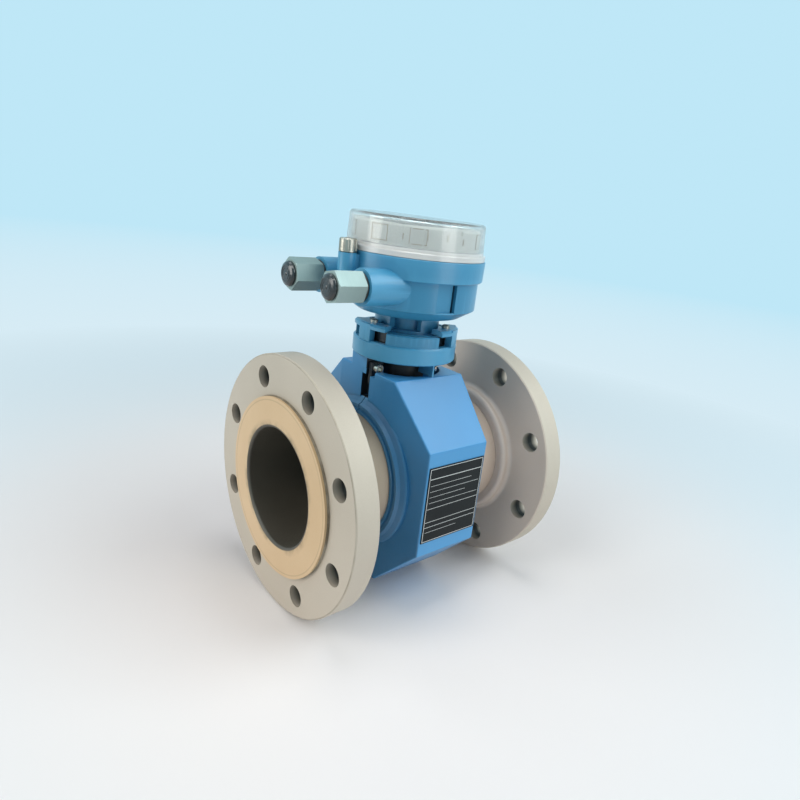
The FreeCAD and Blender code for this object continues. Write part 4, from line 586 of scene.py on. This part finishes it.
def plug_rings(bm):
    """Two raised rings and a centre button moulded on the head of each blanking plug."""
    for name in ("blanking_plug_front", "blanking_plug_rear"):
        low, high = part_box(name)
        centre = (low[0], (low[1] + high[1]) / 2, (low[2] + high[2]) / 2)
        for inner, outer in PLUG_RING_RADII:
            rising = [(behind, inner + past) for behind, past in PLUG_RING_SIDE]
            falling = [(behind, outer - past) for behind, past in reversed(PLUG_RING_SIDE)]
            add_turned(bm, rising + falling, centre)
        add_turned(bm, PLUG_BUTTON, centre, steps=32)


def display_frame(bm):
    """Raised border round the display window."""
    bmesh.ops.create_grid(bm, x_segments=1, y_segments=1, size=0.5)
    for vert in bm.verts:
        vert.co = Vector((vert.co.x * BORDER_SIZE[0],
                          BORDER_MIDDLE_Y + vert.co.y * BORDER_SIZE[1], DISPLAY_TOP - ROOT))
    bm.faces.ensure_lookup_table()
    inner = bm.faces[0]
    bmesh.ops.inset_region(bm, faces=[inner], use_boundary=True, use_even_offset=True,
                           thickness=BORDER_WIDTH)
    bmesh.ops.delete(bm, geom=[inner], context="FACES_ONLY")
    raised = bmesh.ops.extrude_face_region(bm, geom=list(bm.faces), use_keep_orig=True)
    lifted = {item for item in raised["geom"] if isinstance(item, bmesh.types.BMVert)}
    bmesh.ops.translate(bm, verts=list(lifted), vec=(0, 0, BORDER_HEIGHT))
    rims = [edge for edge in bm.edges if lifted.issuperset(edge.verts) and not edge.is_boundary
            and abs(edge.calc_face_angle(0.0)) > SHARP_EDGE]
    round_off(bm, rims, BORDER_BEVEL)


def display_keys(bm):
    """Three round optical keys under the display window."""
    for x in KEYS_X:
        verts = [bm.verts.new((x + radius, KEYS_Y, DISPLAY_TOP + height))
                 for radius, height in KEY_SECTION]
        edges = [bm.edges.new(pair) for pair in zip(verts, verts[1:])]
        revolve(bm, verts, edges, (x, KEYS_Y, 0), (0, 0, 1), steps=32)
    bmesh.ops.remove_doubles(bm, verts=bm.verts, dist=0.00001)


def display_window(bm):
    """The window's face, a little below its border."""
    add_block(bm, (*WINDOW_LOW, DISPLAY_TOP - ROOT), (*WINDOW_HIGH, DISPLAY_TOP + WINDOW_RISE),
              WINDOW_BEVEL)


def carrier_frames(bm):
    """Snap frames moulded round the electronics carrier, seen through the clear cover."""
    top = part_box("electronics_carrier")[1][2] - CARRIER_TOP_GAP

    def bar(azimuth, half_wide, z0, z1, proud=BAR_PROUD):
        before = len(bm.verts)
        add_block(bm, (CARRIER_DRUM - BAR_ROOT, -half_wide, z0),
                  (CARRIER_DRUM + proud, half_wide, z1), BAR_BEVEL)
        bm.verts.ensure_lookup_table()
        bmesh.ops.rotate(bm, verts=bm.verts[before:], cent=(0, 0, 0),
                         matrix=Matrix.Rotation(math.radians(azimuth), 3, "Z"))

    for azimuth, half in CARRIER_FRAMES:
        half_part = math.radians(half) * CARRIER_DRUM / LONG_SIDE_PARTS + BAR_LAP
        for side in (-1, 1):
            bar(azimuth + side * half, BAR_HALF, CARRIER_FOOT, top)
        for part in range(LONG_SIDE_PARTS):
            middle = azimuth - half + (part + 0.5) * 2 * half / LONG_SIDE_PARTS
            bar(middle, half_part, top - 2 * BAR_HALF, top)
            bar(middle, half_part, CARRIER_FOOT, CARRIER_FOOT + 2 * BAR_HALF)
    for azimuth, rise in CARRIER_LATCHES:
        foot = CARRIER_FOOT + rise
        bar(azimuth, BAR_HALF, foot, foot + LATCH_LENGTH, LATCH_PROUD)


plate_white = plastic("plate_white", (0.62, 0.64, 0.63), (0.70, 0.72, 0.71), 0.4)
window_tint = plastic("window_tint", (0.040, 0.085, 0.060), (0.060, 0.110, 0.080), 0.15, coat=0.6)
carrier_edge = plastic("carrier_edge", (0.40, 0.32, 0.20), (0.50, 0.41, 0.27), 0.45)
black = looks["black_plastic"]
new_piece("plate_lines", plate_marks, plate_white, "sensor")
new_piece("plug_rings", plug_rings, black, "transmitter")
new_piece("display_frame", display_frame, black, "transmitter")
new_piece("display_keys", display_keys, black, "transmitter")
new_piece("display_window", display_window, window_tint, "transmitter")
new_piece("carrier_frames", carrier_frames, carrier_edge, "transmitter")


# ---------------------------------------------------------------- stage, light and camera
SKY = (0.52, 0.80, 0.93)
WEAK_SKY, WEAK_STRENGTH = (0.86, 0.93, 1.0), 0.10
PAPER = [(0.0, (0.86, 0.84, 0.84)), (1.0, (0.66, 0.82, 0.90))]
BACKDROP = [(0.0, (0.70, 0.84, 0.91)), (1.0, SKY)]
# Distances from the object over which the paper cools, the backdrop turns to sky, and the
# lit paper gives way to the backdrop.
PAPER_REACH, SKY_REACH, BACKDROP_REACH = (0.15, 0.9), (0.7, 4.0), (0.40, 1.10)
FLOOR_RADIUS, FLOOR_GAP = 30.0, 0.0002
LAMP_DISTANCE, LIT_POINT = 2.0, Vector((0, 0, 0.05))
LAMPS = [                             # name, direction, power in watts, colour, width
    ("key", (0.5, -0.6, 0.8), 24.0, (0.92, 0.99, 1.0), 1.5),
    ("front", (0.25, -1.0, 0.1), 9.2, (1, 1, 1), 0.9),
    ("left_high", (-1.0, -0.1, 1.0), 11.5, (1.0, 0.98, 0.94), 0.9),
    ("left", (-1.0, 0.4, 0.2), 11.5, (1.0, 0.97, 0.92), 0.9),
    ("overhead", (0.0, 0.0, 1.0), 10.0, (1, 1, 1), 0.9),
    ("back", (-0.5, 0.5, 0.8), 5.0, (0.96, 0.98, 1.0), 0.9),
]
CAMERA_PLACE = (-0.35620, -0.41967, 0.24454)
CAMERA_YAW, CAMERA_PITCH, CAMERA_ROLL = 43.52, 17.56, 7.42
CAMERA_LENS, CAMERA_SENSOR = 27.238, 36.0              # in millimetres
CAMERA_SHIFT = (-0.03835, -0.0033)                     # in widths of the view


def make_stage():
    """A wide pale floor: lit paper round the object, an even pale backdrop further out."""
    low = min(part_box("inlet_flange")[0][2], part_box("outlet_flange")[0][2]) - FLOOR_GAP
    bm = bmesh.new()
    bmesh.ops.create_circle(bm, cap_ends=True, cap_tris=False, segments=96, radius=FLOOR_RADIUS)
    bmesh.ops.translate(bm, verts=bm.verts, vec=(0, 0, low))
    mesh = bpy.data.meshes.new("floor")
    bm.to_mesh(mesh)
    bm.free()
    floor = bpy.data.objects.new("floor", mesh)
    scene.collection.objects.link(floor)
    g = Graph("floor_paper")
    x, y, _ = g.axes()
    reach = g.length(x, y)
    paper = g.ramp(g.span(reach, *PAPER_REACH, 0.0, 1.0), PAPER, "EASE")
    backdrop = g.ramp(g.span(reach, *SKY_REACH, 0.0, 1.0), BACKDROP)
    g.finish(Base_Color=paper, Roughness=g.vary(g.noise(60.0, 3.0), 0.78, 0.86))
    glow = g.add("ShaderNodeEmission")
    g.feed(glow.inputs["Color"], backdrop)
    share = g.math("MULTIPLY", g.seen(), g.span(reach, *BACKDROP_REACH, 0.0, 1.0))
    surface = g.blend(share, g.shader.outputs["BSDF"], glow.outputs["Emission"])
    g.feed(g.output.inputs["Surface"], surface)
    mesh.materials.append(g.material)


def make_world():
    """Weak even light on the object, and a pale sky behind it."""
    world = bpy.data.worlds.new("studio")
    world.use_nodes = True
    studio = Tree(world.node_tree)
    weak = studio.tree.nodes["Background"]
    studio.feed(weak.inputs["Color"], WEAK_SKY)
    studio.feed(weak.inputs["Strength"], WEAK_STRENGTH)
    pale = studio.add("ShaderNodeBackground")
    studio.feed(pale.inputs["Color"], SKY)
    surface = studio.blend(studio.seen(), weak.outputs[0], pale.outputs[0])
    studio.feed(studio.tree.nodes["World Output"].inputs["Surface"], surface)
    scene.world = world


def area_light(name, direction, power, colour, size):
    """A square soft light that looks at the object's middle."""
    lamp = bpy.data.lights.new(name, "AREA")
    lamp.shape = "SQUARE"
    lamp.size = size
    lamp.energy = power
    lamp.color = colour
    obj = bpy.data.objects.new(name, lamp)
    reach = Vector(direction).normalized() * LAMP_DISTANCE
    obj.location = reach + LIT_POINT
    obj.rotation_euler = (-reach).to_track_quat("-Z", "Y").to_euler()
    scene.collection.objects.link(obj)


def make_camera():
    """The camera, turned by its yaw from +Y, its pitch down and its roll."""
    yaw, pitch, roll = (math.radians(angle) for angle in (CAMERA_YAW, CAMERA_PITCH, CAMERA_ROLL))
    ahead = Vector((math.sin(yaw) * math.cos(pitch), math.cos(yaw) * math.cos(pitch),
                    -math.sin(pitch)))
    right = ahead.cross(Vector((0, 0, 1))).normalized()
    above = right.cross(ahead)
    side = math.cos(roll) * right + math.sin(roll) * above
    top = -math.sin(roll) * right + math.cos(roll) * above
    data = bpy.data.cameras.new("camera")
    data.sensor_width = CAMERA_SENSOR
    data.lens = CAMERA_LENS
    data.shift_x, data.shift_y = CAMERA_SHIFT
    data.clip_start = 0.01
    camera = bpy.data.objects.new("camera", data)
    turn = Matrix((side, top, -ahead)).transposed().to_4x4()
    camera.matrix_world = Matrix.Translation(CAMERA_PLACE) @ turn
    scene.collection.objects.link(camera)
    scene.camera = camera


make_stage()
make_world()
for lamp_row in LAMPS:
    area_light(*lamp_row)
make_camera()

scene.view_settings.view_transform = "Standard"
